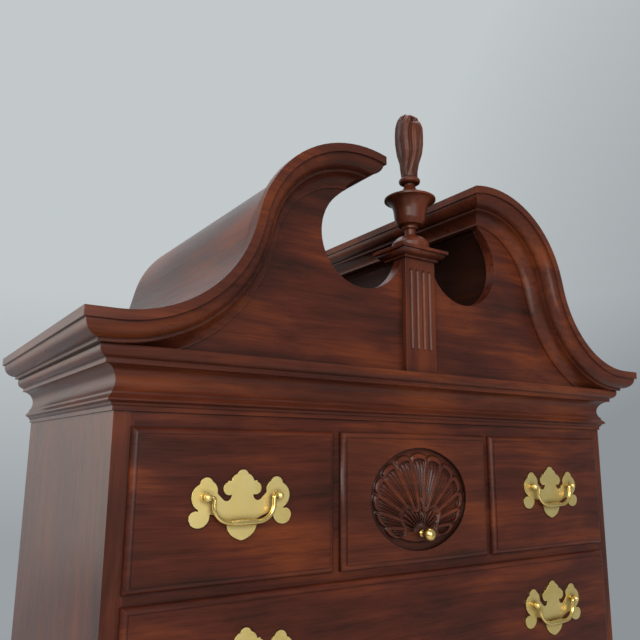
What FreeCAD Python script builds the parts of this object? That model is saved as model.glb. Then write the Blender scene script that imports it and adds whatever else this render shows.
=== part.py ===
import FreeCAD, Part
import math
import os
import re
import Sketcher
from FreeCAD import Vector

# A bonnet-top highboy: an upper case of six drawers under a swan-neck pediment, on a lower case
# of four drawers with cabriole legs. Millimetres, +Z up, the front faces -Y. The origin is on
# the floor, under the middle of the lower case.

doc = FreeCAD.newDocument("Highboy")

# ---------------------------------------------------------------------------------------------
# Driving dimensions: every number that can be chosen by itself
# ---------------------------------------------------------------------------------------------
SIZES = [
    # the two cases
    ("case_width", "940", "width of the upper case"),
    ("case_depth", "494", "depth of the upper case"),
    ("side_thickness", "25.5", "thickness of the upper case's sides"),
    ("lower_step", "22", "how far the lower case stands out at the front and at each side"),
    ("back_thickness", "10", "thickness of the back panels"),
    ("rail_depth", "60", "front to back size of the rails between the drawers"),
    ("runner_width", "40", "width of the side runners"),
    ("runner_thickness", "15", "thickness of the runners"),
    ("guide_width", "14", "width of the guide strips on the middle runners"),
    ("guide_height", "12", "height of the guide strips"),
    ("inner_board", "12", "thickness of the case's top and bottom boards"),
    ("lower_side_thickness", "19", "thickness of the lower case's side panels"),
    ("side_panel_inset", "2", "set-back of the lower side panels from the posts' faces"),
    ("side_arch_rise", "32", "rise of the arch under the lower side panels"),
    ("side_arch_shoulder", "45", "flat length beside that arch"),
    # the rows of drawers
    ("drawer_gap", "12.4", "gap between the lips of neighbouring drawers"),
    ("lip", "4", "how far each lip laps over the opening"),
    ("top_reveal", "18.1", "rail seen above the top row"),
    ("bottom_reveal", "18", "rail seen below the deepest drawer, over the waist moulding"),
    ("top_height", "190", "height of the three top drawers"),
    ("shallow_height", "165", "height of the first long drawer"),
    ("middle_height", "190", "height of the second long drawer"),
    ("deep_height", "215", "height of the third long drawer"),
    ("waist_height", "110", "height of the lower case's long drawer"),
    ("base_height", "190", "height of the lower case's three small drawers"),
    ("apron_rise", "50", "from the legs' tops to the lowest drawers"),
    ("lower_reveal", "18", "rail seen above the lower case's long drawer"),
    # a drawer
    ("lip_thickness", "8", "thickness of the front at its moulded lip"),
    ("lip_round", "7", "radius of the thumbnail edge"),
    ("field_inset", "8.5", "set-back of the raised field from the lip's edge"),
    ("field_height", "1.5", "how far the field stands out of the moulded edge"),
    ("front_core", "13", "thickness of the front inside its opening"),
    ("core_gap", "1.5", "gap between the front's core and its opening"),
    ("box_gap", "1", "running gap at each side of the drawer box"),
    ("box_headroom", "6", "gap above the drawer box's sides"),
    ("box_board", "12", "thickness of the drawer's sides and back"),
    ("box_bottom", "7", "thickness of the drawer's bottom"),
    ("bottom_lift", "8", "height of the drawer's bottom above its runners"),
    ("stop_gap", "12", "gap between the closed drawer and the back panel"),
    # the pulls
    ("pull_bore", "101.6", "distance between a pull's two posts"),
    ("pull_margin", "155.5", "from a long drawer's end to the middle of its pull"),
    ("pull_drop", "11", "how far the pull's posts stand above the middle of the front"),
    ("plate_thickness", "2.5", "thickness of the cast back plate"),
    ("ball_stand", "7.5", "from the back plate to the middle of the post's ball"),
    ("ball_radius", "5", "radius of the post's ball"),
    ("neck_radius", "3.2", "radius of the post's neck"),
    ("flange_radius", "6.5", "radius of the flange at the post's foot"),
    ("flange_height", "1.5", "height of that flange"),
    ("shank_radius", "2.5", "radius of the post's threaded shank"),
    ("shank_gap", "0.1", "gap round the shank in the wood and the plate"),
    ("nut_radius", "6", "radius of the nut inside the drawer, over its corners"),
    ("nut_height", "4", "height of that nut"),
    ("bail_radius", "2.8", "radius of the bail at its arms"),
    ("bail_middle", "3.8", "radius of the bail at its middle"),
    ("bail_drop", "35.5", "from the posts to the bail's lowest line"),
    ("bail_corner", "24", "radius of the bail's lower corners"),
    ("bail_bend", "3", "radius of the bend at the top of each arm"),
    ("bail_stub", "0.5", "straight end of the bail beside each ball"),
    ("bail_gap", "0.3", "gap between the bail's arm and the ball"),
    ("pin_radius", "2", "radius of the bail's hinge pins"),
    ("pin_gap", "0.05", "running gap round those pins"),
    ("pin_reach", "4", "depth of the pins in the balls"),
    # the knobs and shells of the two carved drawers
    ("knob_height", "43.5", "height of the knob above the front's lower edge"),
    ("knob_radius", "10.5", "radius of the knob's ball"),
    ("knob_stand", "24", "from the carved ground to the middle of the knob's ball"),
    ("knob_neck", "4.5", "radius of the knob's neck"),
    ("knob_rose", "11", "radius of the rose under the knob"),
    ("rose_height", "3", "height of that rose"),
    ("knob_shank", "2.5", "radius of the knob's threaded shank"),
    ("ground_half_width", "96", "half the width of the sunk oval ground"),
    ("ground_half_height", "75.5", "half the height of the sunk oval ground"),
    ("ground_middle", "93.5", "height of the ground's middle above the front's lower edge"),
    ("oval_turn", "50", "half the turn of the oval's end arcs, in degrees"),
    ("ground_depth", "6", "depth of the sunk ground"),
    ("ground_ring", "7", "width of the plain ground round the shell"),
    ("shell_rise", "7.5", "height of the shell's dome over its ground"),
    ("shell_rim", "4", "height of the dome at its far rim"),
    ("rim_band", "9", "width of the plain scalloped band inside the rim"),
    ("flute_low_radius", "2.2", "radius of the hollowed flutes at their inner ends"),
    ("flute_high_radius", "6", "radius of the hollowed flutes at their outer ends"),
    ("flute_bite", "2", "how deep the flutes are cut"),
    ("heart_radius", "42", "radius of the hollow round the knob"),
    ("heart_depth", "3", "depth of that hollow"),
    ("heart_boss", "13", "radius of the flat seat of the knob's rose"),
    ("ray_radius", "2.6", "radius of the small rays in the hollow"),

    # the moulded cornice
    ("bed_out", "2.5", "reach of the cornice's lowest fillet"),
    ("bed_top", "5.5", "height of that fillet"),
    ("bed_round_out", "5.5", "reach of the small round over it"),
    ("bed_round_top", "9.5", "height of that round"),
    ("nose_out", "10.5", "reach of the lower nose"),
    ("nose_low", "12", "height of the nose's lower edge"),
    ("nose_edge", "14.2", "height of the nose's upper edge"),
    ("nose_back", "5.5", "reach of the step above the nose"),
    ("nose_top", "19.8", "height at which the nose meets that step"),
    ("cove_low_out", "4.5", "reach of the big cove's foot"),
    ("cove_low", "22.9", "height of the big cove's foot"),
    ("cove_top_out", "15.5", "reach of the big cove's top"),
    ("cove_top", "53.9", "height of the big cove's top"),
    ("band_out", "18.5", "reach of the band over the big cove"),
    ("band_top", "58.7", "height of that band's top"),
    ("round_low_out", "19.5", "reach of the upper round's foot"),
    ("round_low", "60.3", "height of the upper round's foot"),
    ("round_top_out", "27.5", "reach of the upper round's top"),
    ("cornice_height", "75.4", "height of the cornice"),
    # the crown moulding that turns into the swan necks
    ("crown_out", "56", "reach of the crown"),
    ("crown_lip", "42", "reach of the roof's surface over the crown, up to its raised lip"),
    ("crown_fillet", "12.4", "height of the crown's top fillet"),
    ("ovolo_out", "52.5", "reach of the ovolo's top"),
    ("ovolo_drop", "13", "from the crown's top to the ovolo's top"),
    ("ovolo_foot_out", "35", "reach of the ovolo's foot"),
    ("ovolo_foot", "31", "from the crown's top to the ovolo's foot"),
    ("bead_out", "33.5", "reach of the band under the ovolo"),
    ("crown_height", "35.4", "from the crown's top to the cornice"),
    ("neck_cove_out", "32", "reach of the neck's cove at its top"),
    ("neck_fillet_out", "11.5", "reach of the small fillet at the neck's foot"),
    ("neck_cove_low", "50.5", "from the crown's top to the cove's foot"),
    ("neck_height", "53.6", "full height of the neck's moulding"),
    # the swan-neck curve
    ("scroll_centre", "139", "from the middle of the case to the hump's centre"),
    ("hollow_end", "18.8", "how far beyond the case's side the hollow levels out"),
    ("scroll_slope", "76", "steepest slope of the curve, in degrees"),
    ("scroll_straight", "23", "length of the straight run between hump and hollow"),
    ("tip_setback", "41.6", "from the hump's centre to the neck's inner end"),
    ("hole_setback", "32", "from the hump's centre to the round opening's centre"),
    ("hole_rise", "51.8", "height of the round opening's centre over the hump's centre"),
    ("hole_radius", "77.8", "radius of the round openings"),
    ("board_thickness", "19", "thickness of the scroll board"),
    ("board_proud", "10", "how far the scroll board's face stands out of the case's front"),
    ("hole_touch", "46", "angle at which the round opening runs into the neck's foot, in degrees"),
    ("roof_drop", "13", "step down from the neck's top to the roof"),
    ("roof_thickness", "6", "thickness of the bonnet's roof"),
    ("liner_step", "5", "how far the liner stands back from the round opening's edge"),
    ("liner_thickness", "5", "thickness of the curved liners"),
    ("liner_gap", "0.3", "gap between a liner and the block behind the plinth"),
    # the plinth and its finial
    ("plinth_width", "62", "width of the fluted plinth"),
    ("plinth_proud", "9", "how far the plinth stands out of the scroll board"),
    ("plinth_rear", "15.3", "how far the plinth's back block stands behind the board"),
    ("plinth_below_hole", "17.5", "from the round opening's centre down to the plinth's top"),
    ("flute_radius", "3.9", "radius of the flutes"),
    ("flute_depth", "2.8", "depth of the flutes"),
    ("flute_pitch", "12.7", "distance between the flutes"),
    ("flute_margin", "26", "plain length above and below the flutes"),
    ("cap_fillet_out", "4", "reach of the cap's lower fillet"),
    ("cap_fillet", "4", "height of the cap's lower fillet"),
    ("cap_ovolo_out", "13", "reach of the cap's ovolo"),
    ("cap_ovolo", "8.5", "height of the cap's ovolo"),
    ("cap_out", "16.5", "reach of the cap's slab"),
    ("cap_slab", "5", "height of the cap's slab"),
    ("urn_foot", "31", "radius of the finial's foot"),
    ("urn_foot_height", "12", "height of the foot's disc"),
    ("urn_dome", "13.5", "radius of the foot's dome at its top"),
    ("urn_dome_height", "26", "height of that dome's top"),
    ("urn_neck", "9", "radius of the neck under the urn"),
    ("urn_neck_height", "38", "height of that neck's top"),
    ("urn_ring", "12.6", "radius of the ring under the bowl"),
    ("urn_ring_height", "6", "height of that ring"),
    ("urn_base", "20.5", "radius of the bowl's underside"),
    ("urn_bowl", "25.7", "radius of the bowl over its round foot"),
    ("urn_bowl_height", "56", "height at which it has that radius"),
    ("urn_wall", "27.4", "radius of the bowl at the middle of its wall"),
    ("urn_wall_height", "70", "height of that middle"),
    ("urn_flare", "30.4", "radius of the bowl where its rim flares out"),
    ("urn_flare_height", "80", "height of that place"),
    ("urn_rim", "42.5", "radius of the urn's rim"),
    ("urn_rim_height", "92", "height of the urn's rim"),
    ("urn_rim_edge", "3", "thickness of the rim's edge"),
    ("urn_lid", "24", "radius of the domed lid where it turns hollow"),
    ("urn_lid_height", "100", "height of that turn"),
    ("urn_top", "9", "radius of the urn's upper neck"),
    ("urn_top_height", "118.5", "height of the urn's upper neck"),
    ("collar_radius", "16.8", "radius of the collar"),
    ("collar_height", "10.5", "height of the collar"),
    ("flame_height", "116.5", "height of the carved flame"),
    ("flame_foot", "13.5", "radius of the flame's foot"),
    ("flame_waist", "16.8", "radius of the flame at a quarter of its height"),
    ("flame_belly", "25", "radius of the flame at its widest"),
    ("flame_tip", "9", "radius of the flame's blunt tip"),
    ("flame_turn", "90", "turn of the flame from its foot to its tip, in degrees"),
    # the waist moulding
    ("waist_mould_height", "30", "height of the waist moulding"),
    ("waist_mould_out", "29", "reach of its lower edge"),
    ("waist_edge", "6", "height of its lower edge"),
    ("waist_cove_out", "10", "reach of its cove's top"),
    ("waist_cove_top", "24", "height of its cove's top"),
    ("waist_top_out", "6", "reach of its upper edge"),
    # the legs
    ("leg_height", "430", "from the floor to the top of the leg's curve"),
    ("post_size", "47.5", "side of the square post above the leg"),
    ("knee_drop", "45", "from the leg's top down to the knee"),
    ("knee_size", "68", "thickness of the knee"),
    ("knee_out", "14", "how far the knee's middle stands out of the post's"),
    ("shin_drop", "175", "from the leg's top down to the shin's section"),
    ("shin_size", "44", "thickness of the shin"),
    ("shin_out", "2", "how far the shin's middle stands out of the post's"),
    ("ankle_height", "95", "height of the ankle"),
    ("ankle_size", "31", "thickness of the ankle"),
    ("ankle_out", "3", "how far the ankle's middle stands out of the post's"),
    ("instep_height", "40", "height of the instep"),
    ("instep_size", "50", "thickness of the instep"),
    ("foot_height", "18", "height of the pad foot's widest line"),
    ("foot_size", "80", "width of the pad foot"),
    ("foot_out", "22", "how far the foot's middle stands out of the post's"),
    ("pad_size", "58", "width of the disc under the foot"),
    ("pad_height", "8", "height of that disc"),
    ("knee_block_reach", "62", "length of the knee blocks"),
    ("knee_block_drop", "70", "height of the knee blocks"),
    ("knee_block_thickness", "30", "thickness of the knee blocks"),
    # the apron
    ("apron_thickness", "22", "thickness of the shaped apron"),
    ("apron_pad_centre", "150", "from the middle to each turned drop"),
    ("apron_pad_half", "21", "half the width of the tongue that carries a drop"),
    ("apron_pad_drop", "55", "how far that tongue hangs below the legs' tops"),
    ("apron_side_rise", "26", "rise of the apron's side arches"),
    ("apron_arch_rise", "24", "rise of the apron's middle arch"),
    ("drop_radius", "15", "radius of the turned drop's ball"),
    ("drop_neck", "7", "radius of the drop's neck"),
    ("drop_length", "62", "length of the turned drop"),
]

# Levels and places that follow from the driving dimensions
LEVELS = [
    ("half_width", "case_width / 2"),
    ("lower_half", "case_width / 2 + lower_step"),
    ("inner_half", "case_width / 2 - side_thickness"),
    ("lip_half", "inner_half + lip"),
    ("small_width", "(2 * lip_half - 2 * drawer_gap) / 3"),
    ("small_step", "small_width + drawer_gap"),
    ("pull_spread", "lip_half - pull_margin"),
    ("front", "-(case_depth - lower_step) / 2"),
    ("lower_front", "-(case_depth + lower_step) / 2"),
    ("back", "(case_depth + lower_step) / 2"),
    ("panel_front", "back - back_thickness"),
    ("rail_height", "drawer_gap + 2 * lip"),
    ("base_row", "leg_height + apron_rise"),
    ("waist_row", "base_row + base_height + drawer_gap"),
    ("lower_top", "waist_row + waist_height + lower_reveal"),
    ("deep_row", "lower_top + waist_mould_height + bottom_reveal"),
    ("middle_row", "deep_row + deep_height + drawer_gap"),
    ("shallow_row", "middle_row + middle_height + drawer_gap"),
    ("top_row", "shallow_row + shallow_height + drawer_gap"),
    ("cornice_low", "top_row + top_height + top_reveal"),
    ("crown_low", "cornice_low + cornice_height"),
    ("crown_top", "crown_low + crown_height"),
    ("hollow_x", "half_width + hollow_end"),
    ("scroll_radius", "(hollow_x - scroll_centre - scroll_straight * cos(scroll_slope))"
                      " / (2 * sin(scroll_slope))"),
    ("hollow_z", "crown_top + scroll_radius"),
    ("hump_z", "hollow_z - 2 * scroll_radius * cos(scroll_slope)"
               " + scroll_straight * sin(scroll_slope)"),
    ("tip_x", "scroll_centre - tip_setback"),
    ("return_x", "tip_x + crown_out"),
    ("hole_x", "scroll_centre - hole_setback"),
    ("hole_z", "hump_z + hole_rise"),
    ("board_drop", "roof_drop + roof_thickness"),
    ("board_front", "front - board_proud"),
    ("board_back", "board_front + board_thickness"),
    ("plinth_top", "hole_z - plinth_below_hole"),
    ("cap_top", "plinth_top + cap_fillet + cap_ovolo + cap_slab"),
    ("plinth_back", "board_back + plinth_rear"),
    ("finial_y", "(board_front - plinth_proud + plinth_back) / 2"),
    ("flame_low", "cap_top + urn_top_height + collar_height"),
    ("shell_a", "ground_half_width - ground_ring"),
    ("shell_b", "ground_half_height - ground_ring"),
    ("shell_lift", "ground_middle - knob_height"),
    ("shell_far", "shell_lift + shell_b + ground_ring"),
    ("ball_out", "plate_thickness + ball_stand"),
    ("front_thickness", "lip_thickness + front_core"),
    ("face_out", "lip_thickness + field_height"),
    ("bail_end", "pull_bore / 2 - ball_radius - bail_gap"),
    ("arm_x", "bail_end - bail_stub - bail_bend"),
]


def words(text, homes):
    """Put the name of its sheet before each alias in an expression."""
    return re.sub(r"[a-z][a-z_]*[a-z]", lambda m: homes.get(m.group(), "") + m.group(), text)


def make_sheet(name, rows, homes):
    """Fill a spreadsheet from rows of alias, value or formula, and note."""
    sheet = doc.addObject("Spreadsheet::Sheet", name)
    for number, (alias, content, note) in enumerate(rows, 1):
        sheet.set(f"A{number}", note)
        sheet.set(f"B{number}", content)
        sheet.setAlias(f"B{number}", alias)
    homes.update({alias: f"{name}." for alias, _, _ in rows})
    doc.recompute()
    return sheet


HOMES = {}
size_sheet = make_sheet("Sizes", SIZES, HOMES)
inside = {alias: "" for alias, _ in LEVELS}
level_rows = [(alias, "=" + words(text, {**HOMES, **inside}), "follows from the sizes")
              for alias, text in LEVELS]
level_sheet = make_sheet("Levels", level_rows, HOMES)


def bound(text):
    return words(text, HOMES)


def value(text):
    """The present value of an expression."""
    result = size_sheet.evalExpression(bound(text))
    return float(getattr(result, "Value", result))


# ---------------------------------------------------------------------------------------------
# Helpers: sketches, bodies, boards and groups
# ---------------------------------------------------------------------------------------------
NODES = []                       # the objects that are written, one file each
LOBES = 13                       # lobes of each carved shell
LOBE_TURN = 23                   # degrees of the oval from one lobe to the next


def bind(feature, **places):
    """Tie properties to the sheets; a double underscore in a keyword stands for a dot."""
    for name, text in places.items():
        feature.setExpression(name.replace("__", "."), bound(text))
    return feature


def put(feature, x="0", y="0", z="0"):
    return bind(feature, Placement__Base__x=x, Placement__Base__y=y, Placement__Base__z=z)


def board(name, low, size):
    """A rectangular board from its lowest corner and its size, both as expressions."""
    box = doc.addObject("Part::Box", name)
    bind(box, Length=size[0], Width=size[1], Height=size[2])
    return put(box, *low)


def cylinder(name, radius, height, centre, direction):
    """A cylinder that starts at centre and runs along direction."""
    rod = doc.addObject("Part::Cylinder", name)
    bind(rod, Radius=radius, Height=height)
    rod.Placement.Rotation = FreeCAD.Rotation(Vector(0, 0, 1), direction)
    return put(rod, *centre)


def group(name, pieces):
    """Pieces that stay separate solids under one name."""
    compound = doc.addObject("Part::Compound", name)
    compound.Links = pieces
    return compound


def fused(name, pieces):
    fusion = doc.addObject("Part::MultiFuse", name)
    fusion.Shapes = pieces
    return fusion


def cut(name, base, tool):
    result = doc.addObject("Part::Cut", name)
    result.Base = base
    result.Tool = tool
    return result


def mirrored(name, source, normal=Vector(1, 0, 0)):
    """The same piece on the other side of the middle plane."""
    mirror = doc.addObject("Part::Mirroring", name)
    mirror.Source = source
    mirror.Normal = normal
    return mirror


def node(label, feature):
    feature.Label = label
    NODES.append(feature)
    return feature


def new_body(name):
    return doc.addObject("PartDesign::Body", name)


def new_sketch(body, plane, away="0"):
    """A sketch on one of the body's own origin planes, moved along the plane's normal."""
    sketch = body.newObject("Sketcher::SketchObject", f"{body.Name}Sketch")
    support = next(f for f in body.Origin.OriginFeatures if f.Role == plane)
    sketch.AttachmentSupport = (support, [""])
    sketch.MapMode = "FlatFace"
    return bind(sketch, AttachmentOffset__Base__z=away)


def edge_between(start, end, sweep):
    """A line, or an arc that turns through sweep degrees (positive to the left)."""
    if not sweep:
        return Part.LineSegment(start, end), False
    chord = end - start
    radius = chord.Length / 2 / math.sin(math.radians(abs(sweep)) / 2)
    height = radius * math.cos(math.radians(sweep) / 2)
    normal = Vector(-chord.y, chord.x, 0).normalize()
    centre = (start + end) / 2 + normal * math.copysign(1, sweep) * height
    circle = Part.Circle(centre, Vector(0, 0, 1), radius)
    first, last = (start, end) if sweep > 0 else (end, start)
    angles = [math.atan2(p.y - centre.y, p.x - centre.x) for p in (first, last)]
    return Part.ArcOfCircle(circle, *angles), sweep < 0


def trace(sketch, corners, closed=True):
    """Draw a chain of lines and arcs. A corner is (x, y) or (x, y, sweep of the arc that arrives
    there), all as expressions. Each corner is held by its two distances from the origin."""
    points = [Vector(value(x), value(y), 0) for x, y, *_ in corners]
    count = len(corners)
    edges = []
    for start in range(count if closed else count - 1):
        end = (start + 1) % count
        sweep = corners[end][2] if len(corners[end]) > 2 else None
        shape, turned = edge_between(points[start], points[end], value(sweep) if sweep else 0)
        index = sketch.addGeometry(shape, False)
        edges.append((index, 2 if turned else 1, 1 if turned else 2))
        if sweep:
            angle = math.radians(abs(value(sweep)))
            held = sketch.addConstraint(Sketcher.Constraint("Angle", index, angle))
            bind(sketch, **{f"Constraints[{held}]": f"abs({sweep}) * 1 deg"})
    for number, (index, first, last) in enumerate(edges):
        hold(sketch, index, first, corners[number], points[number])
        follower = edges[(number + 1) % len(edges)]
        if closed or number + 1 < len(edges):
            sketch.addConstraint(Sketcher.Constraint("Coincident", index, last,
                                                     follower[0], follower[1]))
        else:
            hold(sketch, index, last, corners[-1], points[-1])
    return sketch


def hold(sketch, index, end, corner, point):
    """Tie one end of an edge to the expressions of its corner."""
    for kind, text, number in (("DistanceX", corner[0], point.x), ("DistanceY", corner[1], point.y)):
        held = sketch.addConstraint(Sketcher.Constraint(kind, -1, 1, index, end, number))
        bind(sketch, **{f"Constraints[{held}]": text})


def rectangle(sketch, left, low, right, high):
    return trace(sketch, [(left, low), (right, low), (right, high), (left, high)])


def pad(body, sketch, length, reverse=False):
    """Pad a sketch; a sketch on the XZ plane goes towards -Y unless it is reversed."""
    feature = body.newObject("PartDesign::Pad", f"{body.Name}Pad")
    feature.Profile = sketch
    feature.Reversed = reverse
    sketch.Visibility = False
    return bind(feature, Length=length)


def pocket(body, sketch, length=None, reverse=False):
    """Cut a sketch away, right through unless a length is given."""
    feature = body.newObject("PartDesign::Pocket", f"{body.Name}Pocket")
    feature.Profile = sketch
    feature.Reversed = reverse
    if length is None:
        feature.Type = "ThroughAll"
    else:
        bind(feature, Length=length)
    return feature


def turned(name, corners):
    """A lathe-turned piece: its half outline is (radius, height), turned about the Z axis."""
    body = new_body(name)
    sketch = trace(new_sketch(body, "XZ_Plane"), corners)
    feature = body.newObject("PartDesign::Revolution", f"{name}Revolution")
    feature.Profile = sketch
    feature.ReferenceAxis = (sketch, ["V_Axis"])
    feature.Angle = 360
    return body


# ---------------------------------------------------------------------------------------------
# The cases: sides, rails, runners and backs
# ---------------------------------------------------------------------------------------------
def pair(name, low, size):
    """A board on the right and its mirror image on the left."""
    right = board(name + "Right", low, size)
    return [right, mirrored(name + "Left", right)]


def across(name, low_y, low_z, depth, height):
    """A board that spans the case between its sides."""
    return board(name, ("-inner_half", low_y, low_z), ("2 * inner_half", depth, height))


def make_upper_case():
    roof_low = "crown_top - board_drop"
    sides = pair("UpperSide", ("inner_half", "front", "lower_top"),
                 ("side_thickness", "case_depth", f"{roof_low} - lower_top"))
    node("upper_sides", group("UpperSides", sides))

    rails = [across("BottomRail", "front", "lower_top", "rail_depth",
                    "waist_mould_height + bottom_reveal + lip")]
    for name, row, height in (("Deep", "deep_row", "deep_height"),
                              ("Middle", "middle_row", "middle_height"),
                              ("Shallow", "shallow_row", "shallow_height")):
        rails.append(across(name + "Rail", "front", f"{row} + {height} - lip",
                            "rail_depth", "rail_height"))
    rails.append(across("TopRail", "front", "top_row + top_height - lip", "rail_depth",
                        "top_reveal + lip"))
    divider = pair("TopDivider", ("small_width / 2 - lip", "front", "top_row + lip"),
                   ("rail_height", "rail_depth", "top_height - 2 * lip"))
    node("upper_frame", group("UpperFrame", rails + divider))

    depth = "panel_front - front - rail_depth"
    inner = []
    for name, row in (("Deep", "deep_row"), ("Middle", "middle_row"), ("Shallow", "shallow_row"),
                      ("Top", "top_row")):
        inner += pair(name + "Runner",
                      ("inner_half - runner_width", "front + rail_depth",
                       f"{row} + lip - runner_thickness"),
                      ("runner_width", depth, "runner_thickness"))
    inner += pair("MiddleRunner",
                  ("small_step / 2 - runner_width / 2", "front + rail_depth",
                   "top_row + lip - runner_thickness"),
                  ("runner_width", depth, "runner_thickness"))
    inner += pair("Guide", ("small_step / 2 - guide_width / 2", "front + rail_depth",
                            "top_row + lip"), ("guide_width", depth, "guide_height"))
    inner.append(across("TopBoard", "front + rail_depth", "cornice_low - inner_board", depth,
                        "inner_board"))
    inner.append(across("BottomBoard", "front + rail_depth", "lower_top", depth, "inner_board"))
    node("upper_runners", group("UpperRunners", inner))


def make_lower_case():
    """Side panels and rails between the four leg posts."""
    panel = new_body("LowerSidePanel")
    half_span = "back - post_size"
    sketch = new_sketch(panel, "YZ_Plane", "lower_half - side_panel_inset - lower_side_thickness")
    trace(sketch, [(f"-({half_span})", "leg_height"),
                   (f"-({half_span}) + side_arch_shoulder", "leg_height"),
                   (f"-({half_span}) + 3 * side_arch_shoulder", "leg_height + side_arch_rise", "-60"),
                   (f"{half_span} - 3 * side_arch_shoulder", "leg_height + side_arch_rise"),
                   (f"{half_span} - side_arch_shoulder", "leg_height", "-60"),
                   (half_span, "leg_height"),
                   (half_span, "lower_top"), (f"-({half_span})", "lower_top")])
    pad(panel, sketch, "lower_side_thickness")
    node("lower_sides", group("LowerSides", [panel, mirrored("LowerSideLeft", panel)]))

    rails = [across("LowerTopRail", "lower_front", "lower_top - lower_reveal - lip", "rail_depth",
                    "lower_reveal + lip"),
             across("WaistRail", "lower_front", "waist_row - drawer_gap - lip", "rail_depth",
                    "rail_height")]
    divider = pair("BaseDivider", ("small_width / 2 - lip", "lower_front", "base_row + lip"),
                   ("rail_height", "rail_depth", "base_height - 2 * lip"))
    node("lower_frame", group("LowerFrame", rails + divider))

    depth = "panel_front - lower_front - rail_depth"
    inner = []
    for name, row in (("Waist", "waist_row"), ("Base", "base_row")):
        inner += pair(name + "Runner",
                      ("inner_half - runner_width", "lower_front + rail_depth",
                       f"{row} + lip - runner_thickness"),
                      ("runner_width", depth, "runner_thickness"))
    inner += pair("BaseMiddleRunner",
                  ("small_step / 2 - runner_width / 2", "lower_front + apron_thickness",
                   "base_row + lip - runner_thickness"),
                  ("runner_width", "panel_front - lower_front - apron_thickness",
                   "runner_thickness"))
    inner += pair("BaseGuide", ("small_step / 2 - guide_width / 2", "lower_front + rail_depth",
                                "base_row + lip"), ("guide_width", depth, "guide_height"))
    node("lower_runners", group("LowerRunners", inner))
    node("lower_back", board("LowerBack", ("-inner_half", "panel_front", "leg_height + lip"),
                             ("2 * inner_half", "back_thickness", "lower_top - leg_height - lip")))


# ---------------------------------------------------------------------------------------------
# Mitred mouldings
# ---------------------------------------------------------------------------------------------
def mitre(body, corners):
    """Cut a moulding's end at 45 degrees, by a triangle seen from above."""
    pocket(body, trace(new_sketch(body, "XY_Plane"), corners), reverse=True)


def moulding(name, profile, reach):
    """Three lengths of one moulding round the upper case, mitred at its front corners.
    profile lists (reach, height, sweep) from the lower inside corner outwards and up."""
    far = f"({reach} + 5)"
    front = new_body(name + "Front")
    sketch = new_sketch(front, "YZ_Plane", f"-(half_width + {reach})")
    trace(sketch, [(f"front - ({out})", level, *(f"-({s})" for s in sweep))
                   for out, level, *sweep in profile])
    pad(front, sketch, f"2 * (half_width + {reach})")
    mitre(front, [("half_width", "front"), (f"half_width + {far}", f"front - {far}"),
                  (f"half_width + {far}", "front")])
    mitre(front, [("-half_width", "front"), (f"-(half_width + {far})", f"front - {far}"),
                  (f"-(half_width + {far})", "front")])

    side = new_body(name + "Side")
    sketch = new_sketch(side, "XZ_Plane", "-back")
    trace(sketch, [(f"half_width + ({out})", level, *sweep) for out, level, *sweep in profile])
    pad(side, sketch, f"case_depth + {reach}")
    mitre(side, [("half_width", "front"), (f"half_width + {far}", f"front - {far}"),
                 ("half_width", f"front - {far}")])
    return front, side


def make_cornice():
    profile = [("0", "cornice_low"), ("bed_out", "cornice_low"),
               ("bed_out", "cornice_low + bed_top"),
               ("bed_round_out", "cornice_low + bed_round_top", "60"),
               ("nose_out", "cornice_low + nose_low"), ("nose_out", "cornice_low + nose_edge"),
               ("nose_back", "cornice_low + nose_top"), ("nose_back", "cornice_low + cove_low"),
               ("cove_low_out", "cornice_low + cove_low"),
               ("cove_top_out", "cornice_low + cove_top", "-115"),
               ("band_out", "cornice_low + cove_top"), ("band_out", "cornice_low + band_top"),
               ("round_low_out", "cornice_low + round_low"),
               ("round_top_out", "crown_low", "100"), ("0", "crown_low")]
    front, side = moulding("Cornice", profile, "40")
    node("cornice", group("Cornice", [front, side, mirrored("CorniceLeft", side)]))


def make_waist_moulding():
    profile = [("0", "lower_top"), ("waist_mould_out", "lower_top"),
               ("waist_mould_out", "lower_top + waist_edge"),
               ("waist_cove_out", "lower_top + waist_cove_top", "-70"),
               ("waist_top_out", "lower_top + waist_mould_height"),
               ("0", "lower_top + waist_mould_height")]
    front, side = moulding("Waist", profile, "waist_mould_out")
    node("waist_moulding", group("WaistMoulding", [front, side, mirrored("WaistLeft", side)]))


# ---------------------------------------------------------------------------------------------
# The swan-neck curve, and what follows it
# ---------------------------------------------------------------------------------------------
def on_hump(x, drop):
    """Height of the curve over the hump at x, lowered by drop."""
    return f"hump_z + sqrt((scroll_radius - ({drop}))^2 - ({x} - scroll_centre)^2)"


def scroll(drop, inner_x, outer_x, outward=True):
    """The curve from its inner end over the hump and through the hollow, lowered by drop."""
    hump, hollow = f"(scroll_radius - ({drop}))", f"(scroll_radius + ({drop}))"
    end_z = f"hollow_z - sqrt({hollow}^2 - (hollow_x - ({outer_x}))^2)"
    hump_sweep = f"scroll_slope + asin((scroll_centre - ({inner_x})) / {hump}) / 1 deg"
    hollow_sweep = f"scroll_slope - asin((hollow_x - ({outer_x})) / {hollow}) / 1 deg"
    inner = (inner_x, on_hump(f"({inner_x})", drop))
    leave = (f"scroll_centre + {hump} * sin(scroll_slope)", f"hump_z + {hump} * cos(scroll_slope)")
    arrive = (f"hollow_x - {hollow} * sin(scroll_slope)",
              f"hollow_z - {hollow} * cos(scroll_slope)")
    outer = (outer_x, end_z)
    if outward:
        return [inner, (*leave, f"-({hump_sweep})"), arrive, (*outer, hollow_sweep)]
    return [outer, (*arrive, f"-({hollow_sweep})"), leave, (*inner, hump_sweep)]


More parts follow.
